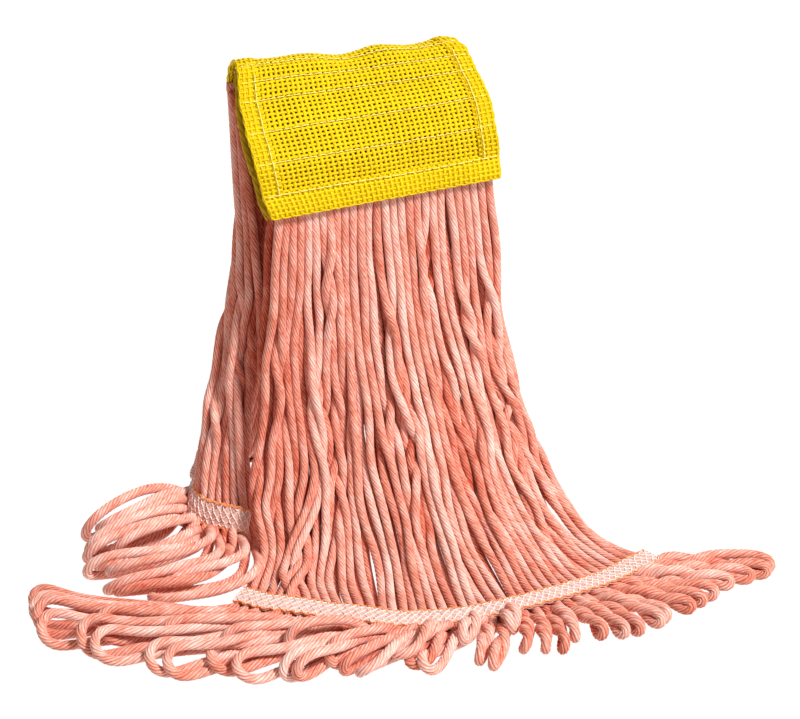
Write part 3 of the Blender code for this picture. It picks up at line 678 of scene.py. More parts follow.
class Soup:
    """Gathers tubes and sheets into one mesh with the values that its material reads."""

    def __init__(self):
        self.v, self.f, self.fib, self.groove, self.tint, self.n = [], [], [], [], [], 0
        self.fans = []

    def add(self, pts, quads, fib=None, groove=None, tint=0.5):
        m = len(pts)
        self.v.append(pts)
        self.f.append(quads + self.n)
        self.fib.append(np.zeros((m, 3)) if fib is None else fib)
        self.groove.append(np.zeros(m) if groove is None else groove)
        self.tint.append(np.full(m, tint) if np.isscalar(tint) else tint)
        self.n += m

    def tube(self, line, step, sides, phase, tint, shade=None, **k):
        pts, quads, fib, groove, c, sd, n = yarn_tube(line, step, sides, phase, **k)
        fib[:, 2] += 7.3 * tint
        base = self.n
        if shade is None:
            self.add(pts, quads, fib, groove, tint)
        else:
            self.add(pts, quads, fib, groove, tint + np.repeat(np.interp(runs(c), shade[0], shade[1]), sd))
        self.fans.append((base, sd, c[0], False, fib[0], tint))
        self.fans.append((base + (n - 1) * sd, sd, c[-1], True, fib[-1], tint))
        return c

    def round_tube(self, line, radius, sides=6, step=None, tint=0.5, flat=1.0, up=None, closed=False):
        """A plain thread: a round, or flattened, tube along the given points."""
        c = np.asarray(line, float)
        if step:
            c = even(c, max(3, int(measure(c) / step) + 1))
        t = np.gradient(c, axis=0)
        t /= np.maximum(np.linalg.norm(t, axis=1), 1e-9)[:, None]
        if up is None:
            t, a, b = frames(c)
        else:
            up = np.broadcast_to(np.asarray(up, float), c.shape)
            a = np.cross(t, up)
            a /= np.maximum(np.linalg.norm(a, axis=1), 1e-9)[:, None]
            b = np.cross(a, t)
        ang = 2 * math.pi * (np.arange(sides) + 0.5) / sides
        r = np.broadcast_to(np.asarray(radius, float), (len(c),))[:, None]
        pts = c[:, None, :] + (r * np.cos(ang))[..., None] * a[:, None, :] + (r * flat * np.sin(ang))[..., None] * b[:, None, :]
        n = len(c)
        i = np.arange(n - 1)[:, None] * sides
        j = np.arange(sides)[None, :]
        j2 = (j + 1) % sides
        quads = np.stack([i + j, i + j2, i + sides + j2, i + sides + j], -1).reshape(-1, 4)
        s = runs(c)
        fib = np.stack([np.broadcast_to(radius * np.cos(ang), (n, sides)) if np.isscalar(radius) else r * np.cos(ang),
                        np.broadcast_to(np.sin(ang), (n, sides)) * 0.001,
                        np.broadcast_to(s[:, None], (n, sides))], -1)
        base = self.n
        self.add(pts.reshape(-1, 3), quads, fib.reshape(-1, 3), None, tint)
        self.fans.append((base, sides, c[0], False, fib.reshape(-1, 3)[0], tint))
        self.fans.append((base + (n - 1) * sides, sides, c[-1], True, fib.reshape(-1, 3)[-1], tint))

    def build(self, name, material, shift=True):
        v = np.vstack(self.v)
        f = np.vstack(self.f).astype(np.int64)
        fib, groove, tint = np.vstack(self.fib), np.concatenate(self.groove), np.concatenate(self.tint)
        tris = []
        extra_v, extra_fib, extra_tint = [], [], []
        for base, sides, centre, last, fb, tn in self.fans:
            k = len(v) + len(extra_v)
            extra_v.append(centre)
            extra_fib.append(fb)
            extra_tint.append(tn)
            j = np.arange(sides)
            j2 = (j + 1) % sides
            tri = np.stack([np.full(sides, k), base + j, base + j2], -1) if last else np.stack([np.full(sides, k), base + j2, base + j], -1)
            tris.append(tri)
        if extra_v:
            v = np.vstack([v, extra_v])
            fib = np.vstack([fib, extra_fib])
            groove = np.r_[groove, np.ones(len(extra_v))]
            tint = np.r_[tint, extra_tint]
        tris = np.vstack(tris).astype(np.int64) if tris else np.zeros((0, 3), np.int64)
        if shift:
            v = v + np.array([FX, FY, 0.0])
        mesh = bpy.data.meshes.new(name)
        mesh.vertices.add(len(v))
        mesh.vertices.foreach_set("co", v.astype(np.float32).ravel())
        loops = np.concatenate([f.ravel(), tris.ravel()]).astype(np.int32)
        mesh.loops.add(len(loops))
        mesh.loops.foreach_set("vertex_index", loops)
        starts = np.r_[np.arange(len(f)) * 4, len(f) * 4 + np.arange(len(tris)) * 3].astype(np.int32)
        mesh.polygons.add(len(starts))
        mesh.polygons.foreach_set("loop_start", starts)
        mesh.polygons.foreach_set("use_smooth", np.ones(len(starts), bool))
        mesh.update(calc_edges=True)
        mesh.attributes.new("fib", "FLOAT_VECTOR", "POINT").data.foreach_set("vector", fib.astype(np.float32).ravel())
        mesh.attributes.new("groove", "FLOAT", "POINT").data.foreach_set("value", groove.astype(np.float32))
        mesh.attributes.new("tint", "FLOAT", "POINT").data.foreach_set("value", tint.astype(np.float32))
        mesh.materials.append(material)
        ob = bpy.data.objects.new(name, mesh)
        bpy.context.scene.collection.objects.link(ob)
        return ob


# ------------------------------------------------------------------ materials
def node_set(name):
    m = bpy.data.materials.new(name)
    m.use_nodes = True
    nt = m.node_tree
    return m, nt, nt.nodes["Principled BSDF"]


def link(nt, a, b):
    nt.links.new(a, b)


def attr(nt, name, kind="Fac"):
    n = nt.nodes.new("ShaderNodeAttribute")
    n.attribute_name = name
    return n.outputs[kind]


def math_node(nt, op, a, b=None, clamp=False):
    n = nt.nodes.new("ShaderNodeMath")
    n.operation, n.use_clamp = op, clamp
    for k, x in enumerate((a, b)):
        if x is None:
            continue
        if isinstance(x, (int, float)):
            n.inputs[k].default_value = x
        else:
            link(nt, x, n.inputs[k])
    return n.outputs[0]


def ramp(nt, fac, stops):
    n = nt.nodes.new("ShaderNodeValToRGB")
    e = n.color_ramp.elements
    while len(e) < len(stops):
        e.new(0.5)
    for k, (pos, col) in enumerate(stops):
        e[k].position = pos
        e[k].color = (*col, 1.0)
    link(nt, fac, n.inputs[0])
    return n.outputs[0]


def mix(nt, fac, a, b, mode="MIX"):
    n = nt.nodes.new("ShaderNodeMix")
    n.data_type, n.blend_type = "RGBA", mode
    n.clamp_result = False
    for sock, x in ((n.inputs[0], fac), (n.inputs[6], a), (n.inputs[7], b)):
        if isinstance(x, (int, float)):
            sock.default_value = x
        elif isinstance(x, tuple):
            sock.default_value = (*x, 1.0)
        else:
            link(nt, x, sock)
    return n.outputs[2]


def noise(nt, vec, scale, detail=2.0, rough=0.5, dist=0.0):
    n = nt.nodes.new("ShaderNodeTexNoise")
    n.inputs["Scale"].default_value = scale
    n.inputs["Detail"].default_value = detail
    n.inputs["Roughness"].default_value = rough
    n.inputs["Distortion"].default_value = dist
    link(nt, vec, n.inputs["Vector"])
    return n.outputs["Fac"]


def scaled(nt, vec, xyz):
    n = nt.nodes.new("ShaderNodeVectorMath")
    n.operation = "MULTIPLY"
    link(nt, vec, n.inputs[0])
    n.inputs[1].default_value = xyz
    return n.outputs[0]


def yarn_material(name, light, mid, dark, deep, sheen=0.35):
    """Cotton blend yarn: fine fibres that run with the plies, painted shade that darkens and saturates the grooves
    between the plies so that the ply tops read pale, and patches along it.
    """
    m, nt, bsdf = node_set(name)
    fib = attr(nt, "fib", "Vector")
    groove = attr(nt, "groove")
    tint = attr(nt, "tint")
    fine = noise(nt, scaled(nt, fib, (5200.0, 5200.0, 420.0)), 1.0, 2.0, 0.6)
    streak = noise(nt, scaled(nt, fib, (1500.0, 1500.0, 130.0)), 1.0, 2.0, 0.55)
    patch = noise(nt, scaled(nt, fib, (60.0, 60.0, 38.0)), 1.0, 2.0, 0.5)
    flecks = noise(nt, scaled(nt, fib, (900.0, 900.0, 330.0)), 1.0, 1.0, 0.5)
    tone = math_node(nt, "MULTIPLY", math_node(nt, "SUBTRACT", fine, 0.5), 0.55)
    tone = math_node(nt, "ADD", tone, math_node(nt, "MULTIPLY", math_node(nt, "SUBTRACT", streak, 0.5), 0.50))
    tone = math_node(nt, "ADD", tone, math_node(nt, "MULTIPLY", math_node(nt, "SUBTRACT", patch, 0.5), 0.70))
    # the tint attribute holds each string's own random tone and, on the skirt strings, the painted shade laid along
    # them in build_skirt
    tone = math_node(nt, "ADD", tone, math_node(nt, "MULTIPLY", math_node(nt, "SUBTRACT", tint, 0.5), 0.38))
    tone = math_node(nt, "ADD", tone, math_node(nt, "MULTIPLY", math_node(nt, "SUBTRACT", flecks, 0.5), 0.60))
    tone = math_node(nt, "ADD", tone, 0.645)
    # painted shade in the grooves between the plies, strongest in the deepest ones
    groove_shade = math_node(nt, "POWER", groove, 2.2)
    tone = math_node(nt, "SUBTRACT", tone, math_node(nt, "MULTIPLY", groove_shade, 0.36), True)
    col = ramp(nt, tone, [(0.0, deep), (0.30, dark), (0.60, mid), (0.92, light)])
    # painted shade: dark dashes in the grooves, where the fibres dive between the plies
    shade_dash = math_node(nt, "MULTIPLY", math_node(nt, "SUBTRACT", flecks, 0.44, False), 7.0, True)
    shade_dash = math_node(nt, "MULTIPLY", shade_dash, groove_shade, True)
    col = mix(nt, math_node(nt, "MULTIPLY", shade_dash, 0.85), col, (0.24, 0.045, 0.02))
    link(nt, col, bsdf.inputs["Base Color"])
    bsdf.inputs["Roughness"].default_value = 0.88
    bsdf.inputs["Specular IOR Level"].default_value = 0.12
    bsdf.inputs["Sheen Weight"].default_value = sheen
    bsdf.inputs["Sheen Roughness"].default_value = 0.45
    bsdf.inputs["Sheen Tint"].default_value = (1.0, 0.80, 0.72, 1.0)
    bump = nt.nodes.new("ShaderNodeBump")
    bump.inputs["Strength"].default_value = 0.75
    bump.inputs["Distance"].default_value = 0.00022
    height = math_node(nt, "ADD", fine, math_node(nt, "MULTIPLY", streak, 0.9))
    link(nt, height, bump.inputs["Height"])
    link(nt, bump.outputs[0], bsdf.inputs["Normal"])
    return m


YARN = yarn_material("pink_yarn", (1.0, 0.73, 0.65), (0.86, 0.36, 0.265), (0.61, 0.125, 0.068), (0.30, 0.03, 0.012), 0.08)
# the yarn inside the headband is the same pink yarn, given dark olive-brown colours: painted shade under the mesh, with
# a painted yellow cast of the light bounced off it
YARN_IN_SHADE = yarn_material("pink_yarn_in_band", (0.60, 0.38, 0.010), (0.46, 0.28, 0.007), (0.32, 0.18, 0.005), (0.18, 0.10, 0.003), 0.0)


def thread_material(name, light, dark, rough=0.55, sheen=0.1, spec=0.4, spread=1.0):
    m, nt, bsdf = node_set(name)
    fib = attr(nt, "fib", "Vector")
    tint = attr(nt, "tint")
    a = noise(nt, scaled(nt, fib, (3000.0, 3000.0, 900.0)), 1.0, 2.0, 0.6)
    b = noise(nt, scaled(nt, fib, (80.0, 80.0, 60.0)), 1.0, 2.0, 0.5)
    tone = math_node(nt, "ADD", math_node(nt, "MULTIPLY", a, 0.55 * spread), math_node(nt, "MULTIPLY", b, 0.55 * spread))
    tone = math_node(nt, "ADD", tone, math_node(nt, "MULTIPLY", math_node(nt, "SUBTRACT", tint, 0.5), 0.5), True)
    col = ramp(nt, tone, [(0.22, dark), (0.72, light)])
    link(nt, col, bsdf.inputs["Base Color"])
    bsdf.inputs["Roughness"].default_value = rough
    bsdf.inputs["Specular IOR Level"].default_value = spec
    bsdf.inputs["Sheen Weight"].default_value = sheen
    bump = nt.nodes.new("ShaderNodeBump")
    bump.inputs["Strength"].default_value = 0.5
    bump.inputs["Distance"].default_value = 0.0001
    link(nt, a, bump.inputs["Height"])
    link(nt, bump.outputs[0], bsdf.inputs["Normal"])
    return m


MESH = thread_material("yellow_mesh", (0.87, 0.61, 0.003), (0.66, 0.43, 0.001), 0.5, 0.0, 0.12)
MESH_IN = thread_material("yellow_mesh_inside", (0.82, 0.60, 0.006), (0.62, 0.42, 0.003), 0.6, 0.0, 0.1)
STITCH = thread_material("pale_stitching", (0.95, 0.85, 0.22), (0.85, 0.70, 0.08), 0.5)
ORANGE = thread_material("orange_thread", (0.95, 0.33, 0.08), (0.82, 0.20, 0.04), 0.55)
TAPE = thread_material("flecked_tape", (0.84, 0.50, 0.42), (0.62, 0.28, 0.20), 0.8, 0.1)
WHITE = thread_material("tape_white_thread", (0.95, 0.88, 0.85), (0.84, 0.70, 0.66), 0.7, 0.2)

# ------------------------------------------------------------------ the skirts
ROUNDS = 240
laid = {label: lay_out(label, ROUNDS) for label in ("front", "back")}


def build_skirt(label):
    made = []
    g = np.random.default_rng(41 if label == "front" else 42)
    n = len(laid[label])
    soups = {}
    for i, (line, ia, ib, a, b) in enumerate(laid[label]):
        tint = float(np.clip(g.normal(0.5, 0.2), 0.05, 0.95))
        phase = float(g.uniform(0, 6.28))
        # each end runs on a little way up into the headband
        up = np.array([0.0, 0.0, 1.0])
        line = line.copy()
        lead_a = line[0] + (line[0] - line[1]) / np.linalg.norm(line[0] - line[1]) * 0.007
        lead_b = line[-1] + (line[-1] - line[-2]) / np.linalg.norm(line[-1] - line[-2]) * 0.007
        full = np.vstack([lead_a, line, lead_b])
        own = label == "front" and i < 40
        hank = 1 + min(7, int(8 * (2 * i + 1) / 84))
        # yarn is fuller past the tail band. Painted shade is put into its colour: darker for the inner layers towards
        # the hem, darker on the first leg by the tail band where it lies deeper, and in the fringe darker the lower it
        # lies under the other loops, with the highest loops a little lighter
        la, lb, total = measure(full[:ia + 2]), measure(full[:ib + 2]), measure(full)
        deep_a, deep_b = (0.05, -0.40, -0.75)[a[2]], (0.05, -0.40, -0.75)[b[2]]
        mid = np.linspace(la + 0.02, lb - 0.02, 12)
        mid_z = np.interp(mid, runs(full), full[:, 2])
        shade = (np.r_[0.0, 0.25 * la, 0.8 * la, mid, total - 0.8 * la, total - 0.25 * la, total],
                 np.r_[deep_a, deep_a, -0.30, np.clip((mid_z - 0.013) * 28, -0.35, 0.12), 0.05, deep_b, deep_b])
        fat = (np.array([la, la + 0.02, lb - 0.02, lb]), np.array([1.0, 1.17, 1.17, 1.0]))
        if own:
            soup = Soup()
            c = soup.tube(full, 0.0020, 24, phase, tint, shade, fat=fat)
            ob = soup.build(f"{label}_string_{i + 1:02d}", YARN)
            made.append((ob, hank, c, measure(c)))
        else:
            soup = soups.setdefault(hank, Soup())
            soup.tube(full, 0.0022, 24, phase, tint, shade, fat=fat)
    for hank, soup in soups.items():
        ob = soup.build(f"{label}_strings_{hank}", YARN)
        made.append((ob, hank, None, None))
    for ob, hank, c, length in made:
        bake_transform(ob)
        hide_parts(f"{label}_string_hank_{hank}", f"{label}_loop_fringe_{hank}")
    return made


strings = {label: build_skirt(label) for label in ("front", "back")}

# ------------------------------------------------------------------ yarn inside the headband
crest_soup = Soup()
for c in range(COLUMNS):
    for layer in range(LAYERS):
        u = (c + 0.5 + (0.0, 0.35, -0.35)[layer] * 0.9) / COLUMNS
        crest_soup.tube(in_band(u, layer, 60), 0.0035, 12, 1.3 * c + layer, 0.5, radius=R * 0.92)
core = crest_soup.build("yarn_in_headband", YARN_IN_SHADE)
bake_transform(core)
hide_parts("yarn_core_front", "yarn_core_back")

# ------------------------------------------------------------------ headband mesh
COLS, ROWS = 47, 46
PX, PS = HEAD_W / COLS, BAND_H / ROWS


def ripple(x, s):
    """How far the mesh stands off its smooth shape between the rows of stitching, and along the hem."""
    k = x / HEAD_W + 0.5
    puff = np.zeros_like(x + s)
    marks = (0.0, *RUNS, 0.104, BAND_H)
    for a, b in zip(marks, marks[1:]):
        inside = (s >= a) & (s <= b)
        puff = puff + inside * 0.0011 * np.sin(math.pi * np.clip((s - a) / (b - a), 0, 1)) ** 0.7
    low = 0.0006 * np.sin(2 * math.pi * (x / 0.047 + 1.7 * s / 0.1)) * np.clip(s / 0.02, 0.3, 1)
    pucker = 0.0009 * np.exp(-((s - 0.022) / 0.007) ** 2) * np.sin(2 * math.pi * (x / 0.083 + 0.35))
    hem = 0.0008 * np.sin(2 * math.pi * (x / 0.061 + 0.15)) * np.exp(-(s / 0.010) ** 2)
    return puff + low * 0.6 + hem + pucker


def band_surface(x, s, off):
    """Points on the headband at x across and s along it, off metres above its outer face."""
    x, s, off = np.broadcast_arrays(np.asarray(x, float), np.asarray(s, float), np.asarray(off, float))
    p, n = band_at(np.clip(s, 0, BAND_H))
    over = (s - np.clip(s, 0, BAND_H))[..., None]
    tan = np.stack([n[..., 1], -n[..., 0]], -1)
    dx, dz, wave = band_shift(x, s)
    q = p + n * (off + ripple(x, s) + wave)[..., None] + tan * over
    return np.stack([x + dx, q[..., 0], q[..., 1] + dz], -1)


def band_up(x, s):
    p, n = band_at(np.clip(s, 0, BAND_H))
    return np.concatenate([np.zeros(np.shape(s) + (1,)), n], -1)


def net(soup, xs, ss, base, amp, wide, flat, s_range, x_range, step=0.0007, seed=1, sides=6):
    """A woven net of flattened strands: those at the places xs run along the headband, those at ss across it."""
    g = np.random.default_rng(seed)
    for j, x in enumerate(xs):
        n = int((s_range[1] - s_range[0]) / step)
        s = np.linspace(s_range[0], s_range[1], n)
        wob = 0.00012 * wave_noise(s, seed * 997 + j, (0.03, 0.012), (1, 0.8))
        off = base + amp * np.cos(math.pi * (s - ss[0]) / PS + math.pi * (j % 2))
        pts = band_surface(np.full(n, x) + wob, s, off)
        soup.round_tube(pts, wide[0] * g.uniform(0.92, 1.08), sides, None, float(g.uniform(0.3, 0.75)), flat, band_up(x, s))
    for i, s0 in enumerate(ss):
        n = int((x_range[1] - x_range[0]) / step)
        x = np.linspace(x_range[0], x_range[1], n)
        wob = 0.00012 * wave_noise(x, seed * 773 + i, (0.03, 0.012), (1, 0.8))
        off = base - amp * np.cos(math.pi * (x - xs[0]) / PX + math.pi * (i % 2))
        s = np.full(n, s0) + wob
        pts = band_surface(x, s, off)
        soup.round_tube(pts, wide[1] * g.uniform(0.92, 1.08), sides, None, float(g.uniform(0.3, 0.75)), flat, band_up(x, s))


xs_all = (np.arange(COLS) + 0.5) * PX - HEAD_W / 2
ss_all = (np.arange(ROWS) + 0.5) * PS


def on_band(ob, slot, *nodes):
    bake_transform(ob)
    if nodes:
        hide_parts(*nodes)
    return ob


half = HEAD_W / 2
warp, weft = Soup(), Soup()
net(warp, xs_all, ss_all, -0.0004, 0.00032, (0.00108, 0.00095), 0.40, (0.0, BAND_H), (-half, half))
outer = on_band(warp.build("headband_outer_mesh", MESH), "yellow_mesh", "headband_outer_mesh_front", "headband_outer_mesh_back")

# the folded hems: a second layer of the same net over the panel's edges
hems = Soup()
HEM = 0.0125
for x0, x1, sd in ((-half, -half + HEM, 3), (half - HEM, half, 4)):
    xs = xs_all[(xs_all > x0) & (xs_all < x1)] + PX * 0.42
    xs = xs[(xs > x0) & (xs < x1)]
    net(hems, xs, ss_all + PS * 0.45, 0.0006, 0.0003, (0.00098, 0.00086), 0.42, (0.0, BAND_H), (x0, x1), seed=sd)
net(hems, xs_all + PX * 0.42, ss_all[:5] * 1.0 + PS * 0.4, 0.0006, 0.0003, (0.00105, 0.00080), 0.42, (0.0, RUNS[0] + 0.0016),
    (-half, half), seed=5)
# the rolled edges of the hems
g = np.random.default_rng(9)
for x, d in ((-half, -1), (half, 1)):
    s = np.linspace(0, BAND_H, 170)
    for q in range(3):
        pts = band_surface(np.full(len(s), x + d * 0.0002) + 0.0003 * np.sin(s / 0.0011 + 2 * q), s,
                           0.0001 + 0.0006 * (q - 1) + 0.0002 * np.cos(s / 0.0013 + q))
        hems.round_tube(pts, 0.00062, 6, None, 0.55, 0.8)
x = np.linspace(-half, half, 210)
for q in range(2):
    pts = band_surface(x, np.full(len(x), -0.0002) + 0.00025 * np.sin(x / 0.0011 + 2 * q), 0.0002 + 0.0006 * (q - 0.5))
    hems.round_tube(pts, 0.0006, 6, None, 0.6, 0.8)
hem_ob = on_band(hems.build("headband_hems", MESH), "yellow_mesh")

inner = Soup()


def inner_surface(x, s, off):
    p, n = band_at(np.clip(s, 0, BAND_H))
    t = mat_at(np.clip(s, 0, BAND_H))
    x = np.asarray(x, float) * np.ones(np.shape(s))
    dx, dz, wave = band_shift(x, s)
    d = (MESH_T * 1.5 + 2 * GAP + t - wave)[..., None]
    q = p - n * (d - off[..., None])
    return np.concatenate([(x + dx)[..., None], q[..., :1], q[..., 1:] + dz[..., None]], -1)


for j, x in enumerate(xs_all):
    s = np.linspace(0.004, BAND_H - 0.003, 150)
    off = 0.0003 * np.cos(math.pi * (s - ss_all[0]) / PS + math.pi * (j % 2))
    inner.round_tube(inner_surface(np.full(len(s), x), s, off), 0.0009, 4, None, 0.5, 0.4, -band_up(x, s))
for i, s0 in enumerate(ss_all[1:-1]):
    x = np.linspace(-half + 0.001, half - 0.001, 150)
    off = -0.0003 * np.cos(math.pi * (x - xs_all[0]) / PX + math.pi * (i % 2))
    s = np.full(len(x), s0)
    inner.round_tube(inner_surface(x, s, off), 0.0008, 4, None, 0.5, 0.4, -band_up(x, s))
lining = on_band(inner.build("headband_inner_mesh", MESH_IN), "yellow_mesh", "headband_inner_mesh_front",
                 "headband_inner_mesh_back")

# ------------------------------------------------------------------ stitching on the headband
def lock_row(soup, point, length, stitch=0.0052, radius=0.00042, seed=0):
    """A row of lock stitches: each stitch lies on the mesh and dives at its ends. point(d, h) is the place at the distance d
    along the row and the height h over the mesh."""
    n = max(1, int(round(length / stitch)))
    w = length / n
    g = np.random.default_rng(seed)
    for k in range(n):
        t = np.linspace(0.04, 0.90 + 0.06 * g.uniform(), 9)
        h = 0.0010 * np.maximum(np.sin(math.pi * (t - t[0]) / (t[-1] - t[0])), 0.0) ** 0.6 - 0.0002
        pts = point((k + t) * w, h, g.uniform(-1, 1) * 0.00012)
        soup.round_tube(pts, radius, 6, None, float(g.uniform(0.35, 0.8)), 0.8)


stitches = []
for i, run in enumerate(RUNS):
    soup = Soup()
    lift = 0.0013 if i == 0 else 0.0005
    lock_row(soup, lambda d, h, j, run=run, lift=lift: band_surface(d - half + 0.001, np.full(len(d), run) + j + 0.0004 * np.sin(d / 0.021),
                                                        h + lift), HEAD_W - 0.002, seed=60 + i)
    name = "front_hem_stitching" if i == 0 else f"headband_stitch_row_{i}"
    ob = soup.build(name + "_thread", STITCH)
    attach(ob, "headband_front") if run < APEX_S - 0.014 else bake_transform(ob)
    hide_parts(name)
soup = Soup()
lock_row(soup, lambda d, h, j: band_surface(d - half + 0.001, np.full(len(d), BAND_H - 0.007) + j, h + 0.0005), HEAD_W - 0.002, seed=70)
ob = soup.build("back_hem_stitching_thread", STITCH)
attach(ob, "headband_back"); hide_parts("back_hem_stitching")
for side, x in (("left", -half + 0.0095), ("right", half - 0.0095)):
    soup = Soup()
    lock_row(soup, lambda d, h, j, x=x: band_surface(np.full(len(d), x) + j, d + 0.0135, h + 0.0013), 0.0735, seed=80 + (x > 0))
    ob = soup.build(f"{side}_side_hem_stitching_thread", STITCH)
    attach(ob, "headband_front"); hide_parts(f"{side}_side_hem_stitching")

# ------------------------------------------------------------------ tail bands
def build_tape(label):
    """The tail tape of one skirt as rows of points, from its upper edge to its lower one."""
    sk = skirts[label]

    def strip_points(w, up):
        nu = 480
        u = np.linspace(-0.004, 1.004, nu)
        mid, down, face = sk.band_frame(np.clip(u, 0, 1))
        e = 0.02
        over = np.where(u < 0, u, np.where(u > 1, u - 1, 0.0))[:, None]
        run = sk.band_frame(np.clip(u + e, 0, 1))[0] - sk.band_frame(np.clip(u - e, 0, 1))[0]
        mid = mid + over * run / (np.clip(u + e, 0, 1) - np.clip(u - e, 0, 1))[:, None]
        # drawn in and up by each string under it, and a little crooked
        ridge = 0.0006 * np.abs(np.sin(math.pi * (u * 42)))
        slack = 0.0007 * wave_noise(u * 0.27, sk.seed + 400, (0.05, 0.03, 0.017), (1, 0.8, 0.5))
        edge = 0.00055 * np.sin(2 * math.pi * u * 42 + 0.8) * np.sign(w) * (abs(w) > 0.004)
        return mid + down * (w + slack + edge)[:, None] + face * (up + ridge + 0.0004 - 0.0007 * (abs(w) / 0.0078) ** 2)[:, None], down

    return strip_points


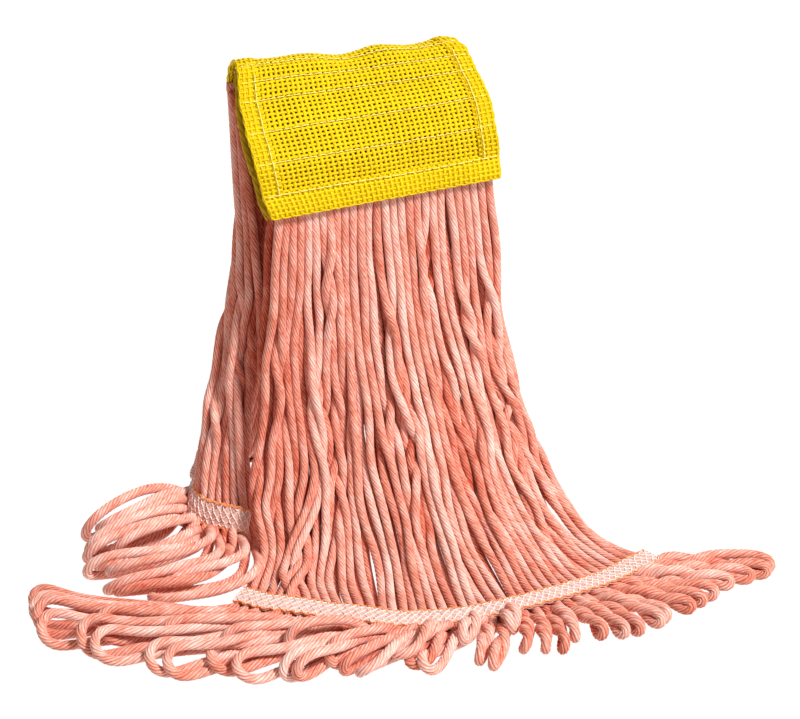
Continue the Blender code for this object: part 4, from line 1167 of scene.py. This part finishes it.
def tape_pieces(label):
    strip_points = build_tape(label)
    h = TAIL_W / 2
    ws = np.linspace(-h, h, 27)
    rows = [strip_points(w, 0.0)[0] for w in ws]
    p = np.array(rows)                     # across, along
    nrm = np.cross(np.gradient(p, axis=1), np.gradient(p, axis=0))
    nrm /= np.linalg.norm(nrm, axis=2)[..., None]
    if nrm[..., 2].mean() < 0:
        nrm = -nrm
    na, nb = p.shape[:2]
    s = runs(p[na // 2])
    i, j = np.meshgrid(np.arange(na), np.arange(nb), indexing="ij")
    weave = 0.00018 * np.sin(2 * math.pi * (s[None, :] / 0.0024 + i / 4.0)) + 0.00010 * np.cos(math.pi * i)
    top = p + nrm * (0.0005 + weave)[..., None]
    low = p - nrm * 0.0003
    soup = Soup()
    idx = lambda a, b: a * nb + b
    q = np.stack([idx(i[:-1, :-1], j[:-1, :-1]), idx(i[:-1, 1:], j[:-1, 1:]), idx(i[1:, 1:], j[1:, 1:]),
                  idx(i[1:, :-1], j[1:, :-1])], -1).reshape(-1, 4)
    m = na * nb
    rim = []
    for a in (0, na - 1):
        b = np.arange(nb - 1)
        k = np.stack([idx(a, b), idx(a, b + 1), idx(a, b + 1) + m, idx(a, b) + m], -1)
        rim.append(k if a else k[:, ::-1])
    for b in (0, nb - 1):
        a = np.arange(na - 1)
        k = np.stack([idx(a, b), idx(a + 1, b), idx(a + 1, b) + m, idx(a, b) + m], -1)
        rim.append(k[:, ::-1] if b else k)
    face_up = np.cross(top[0, 1] - top[0, 0], top[1, 0] - top[0, 0])[2] > 0
    quads = np.vstack([q if face_up else q[:, ::-1], (q[:, ::-1] if face_up else q) + m, *rim])
    fib = np.concatenate([np.stack([i.ravel() * 0.0006, np.zeros(m), np.broadcast_to(s[None, :], (na, nb)).ravel()], -1)] * 2)
    soup.add(np.vstack([top.reshape(-1, 3), low.reshape(-1, 3)]), quads, fib, None, 0.5)
    tape = soup.build(f"{label}_tail_tape", TAPE)
    # white zigzag yarns woven through the tape
    white = Soup()
    g = np.random.default_rng(17)
    fine = np.linspace(0, s[-1], int(s[-1] / 0.0006))
    for k, w0 in enumerate(np.linspace(-h + 0.0021, h - 0.0021, 5)):
        zig = 0.00135 * (2 * np.abs(((fine / 0.0046 + 0.5 * (k % 2)) % 1.0) * 2 - 1) - 1)
        w = w0 + zig
        a = (w + h) / (2 * h) * (na - 1)
        b = np.interp(fine, s, np.arange(nb))
        a0, b0 = np.clip(a.astype(int), 0, na - 2), np.clip(b.astype(int), 0, nb - 2)
        fa, fb = (a - a0)[:, None], (b - b0)[:, None]
        get = lambda f: (f[a0, b0] * (1 - fa) + f[a0 + 1, b0] * fa) * (1 - fb) + (f[a0, b0 + 1] * (1 - fa) + f[a0 + 1, b0 + 1] * fa) * fb
        pts = get(p) + get(nrm) * (0.0007 + 0.00025 * np.sin(2 * math.pi * fine / 0.0023 + k))[:, None]
        white.round_tube(pts, 0.00042, 5, None, float(g.uniform(0.4, 0.7)), 0.75)
    zig_ob = white.build(f"{label}_tail_tape_white_yarns", WHITE)
    # the coloured chain stitch along each edge
    edges = []
    for name, w0 in (("upper", -h + 0.0006), ("lower", h - 0.0006)):
        thread = Soup()
        for k in range(2):
            d = fine
            w = w0 + 0.00045 * np.sin(2 * math.pi * d / 0.0042 + math.pi * k)
            a = np.clip((w + h) / (2 * h) * (na - 1), 0, na - 1.001)
            b = np.interp(d, s, np.arange(nb))
            a0, b0 = np.clip(a.astype(int), 0, na - 2), np.clip(b.astype(int), 0, nb - 2)
            fa, fb = (a - a0)[:, None], (b - b0)[:, None]
            get = lambda f: (f[a0, b0] * (1 - fa) + f[a0 + 1, b0] * fa) * (1 - fb) + (f[a0, b0 + 1] * (1 - fa) + f[a0 + 1, b0 + 1] * fa) * fb
            pts = get(p) + get(nrm) * (0.0008 + 0.00035 * np.sin(2 * math.pi * d / 0.0042 + math.pi * k))[:, None]
            thread.round_tube(pts, 0.00040, 5, None, 0.55, 0.9)
        ob = thread.build(f"{label}_tail_band_stitch_{name}", ORANGE)
        edges.append((ob, f"{label}_tail_band_thread_{name}"))
    # the tape under the strings, a little darker than the outer tape (tint 0.4 against 0.5): painted shade under the
    # strings
    under = Soup()
    nw = 9
    face = skirts[label].band_frame(np.linspace(0, 1, nb))[2]
    grid_p = np.array([p[int(round(1 + (na - 3) * t))] for t in np.linspace(0, 1, nw)]) - face * 0.0112
    grid_p[..., 2] = np.maximum(grid_p[..., 2], 0.0009)
    up = grid_p + np.array([0, 0, 0.0003])
    dn = grid_p - np.array([0, 0, 0.0006])
    i, j = np.meshgrid(np.arange(nw), np.arange(nb), indexing="ij")
    q = np.stack([idx(i[:-1, :-1], j[:-1, :-1]), idx(i[:-1, 1:], j[:-1, 1:]), idx(i[1:, 1:], j[1:, 1:]),
                  idx(i[1:, :-1], j[1:, :-1])], -1).reshape(-1, 4)
    m2 = nw * nb
    rim = []
    for a in (0, nw - 1):
        b = np.arange(nb - 1)
        k = np.stack([idx(a, b), idx(a, b + 1), idx(a, b + 1) + m2, idx(a, b) + m2], -1)
        rim.append(k if a else k[:, ::-1])
    for b in (0, nb - 1):
        a = np.arange(nw - 1)
        k = np.stack([idx(a, b), idx(a + 1, b), idx(a + 1, b) + m2, idx(a, b) + m2], -1)
        rim.append(k[:, ::-1] if b else k)
    quads = np.vstack([q if face_up else q[:, ::-1], (q[:, ::-1] if face_up else q) + m2, *rim])
    fib = np.concatenate([np.stack([i.ravel() * 0.0017, np.zeros(m2), np.broadcast_to(s[None, :], (nw, nb)).ravel()], -1)] * 2)
    under.add(np.vstack([up.reshape(-1, 3), dn.reshape(-1, 3)]), quads, fib, None, 0.4)
    lower = under.build(f"{label}_tail_tape_under", TAPE)
    body = f"{label}_skirt"
    for ob, slot, nodes in ((tape, "flecked_tape", [f"{label}_tail_band_outer"]), (zig_ob, "flecked_tape", []),
                            (lower, "flecked_tape", [f"{label}_tail_band_inner"]),
                            *[(o, "orange_thread", [nm]) for o, nm in edges]):
        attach(ob, body)
        if nodes:
            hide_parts(*nodes)
    return tape, zig_ob, lower, s[-1], edges


tapes = {label: tape_pieces(label) for label in ("front", "back")}

# ------------------------------------------------------------------ stage and light
def stage_material(name, colour, rough=0.9):
    m, nt, bsdf = node_set(name)
    bsdf.inputs["Base Color"].default_value = (*colour, 1)
    bsdf.inputs["Roughness"].default_value = rough
    bsdf.inputs["Specular IOR Level"].default_value = 0.1
    return m


floor_mesh = bpy.data.meshes.new("floor")
floor_mesh.from_pydata([(-30, -30, 0), (30, -30, 0), (30, 30, 0), (-30, 30, 0)], [], [(0, 1, 2, 3)])
floor = bpy.data.objects.new("floor", floor_mesh)
floor.location.z = -0.0004
pale = stage_material("pale_floor", (0.06, 0.06, 0.06))
pale.node_tree.nodes["Principled BSDF"].inputs["Emission Color"].default_value = (1, 1, 1, 1)
pale.node_tree.nodes["Principled BSDF"].inputs["Emission Strength"].default_value = 1.0
floor_mesh.materials.append(pale)
bpy.context.scene.collection.objects.link(floor)

world = bpy.data.worlds.new("world")
bpy.context.scene.world = world
world.use_nodes = True
bg = world.node_tree.nodes["Background"]
bg.inputs[0].default_value = (1.0, 0.95, 0.93, 1.0)
bg.inputs[1].default_value = 0.28


def area(name, place, aim, size, power, colour=(1, 1, 1)):
    d = bpy.data.lights.new(name, "AREA")
    d.shape, d.size, d.size_y = "RECTANGLE", size[0], size[1]
    d.energy, d.color = power, colour
    o = bpy.data.objects.new(name, d)
    o.location = place
    o.rotation_mode = "QUATERNION"
    o.rotation_quaternion = (Vector(aim) - Vector(place)).to_track_quat("-Z", "Y")
    bpy.context.scene.collection.objects.link(o)
    return o


sun = bpy.data.lights.new("sun", "SUN")
sun.energy, sun.angle = 4.0, math.radians(12)
sun_ob = bpy.data.objects.new("sun", sun)
sun_ob.rotation_mode = "QUATERNION"
sun_ob.rotation_quaternion = Vector((-0.36, 0.60, -0.82)).to_track_quat("-Z", "Y")
bpy.context.scene.collection.objects.link(sun_ob)
area("fill", (-1.5, -1.1, 0.9), (0.03, 0.0, 0.1), (1.0, 1.0), 1.5)
area("back_fill", (0.9, 1.6, 1.1), (0.03, 0.0, 0.1), (1.2, 1.2), 7.0)

view = bpy.context.scene.view_settings
view.view_transform = "Standard"
view.look = "None"
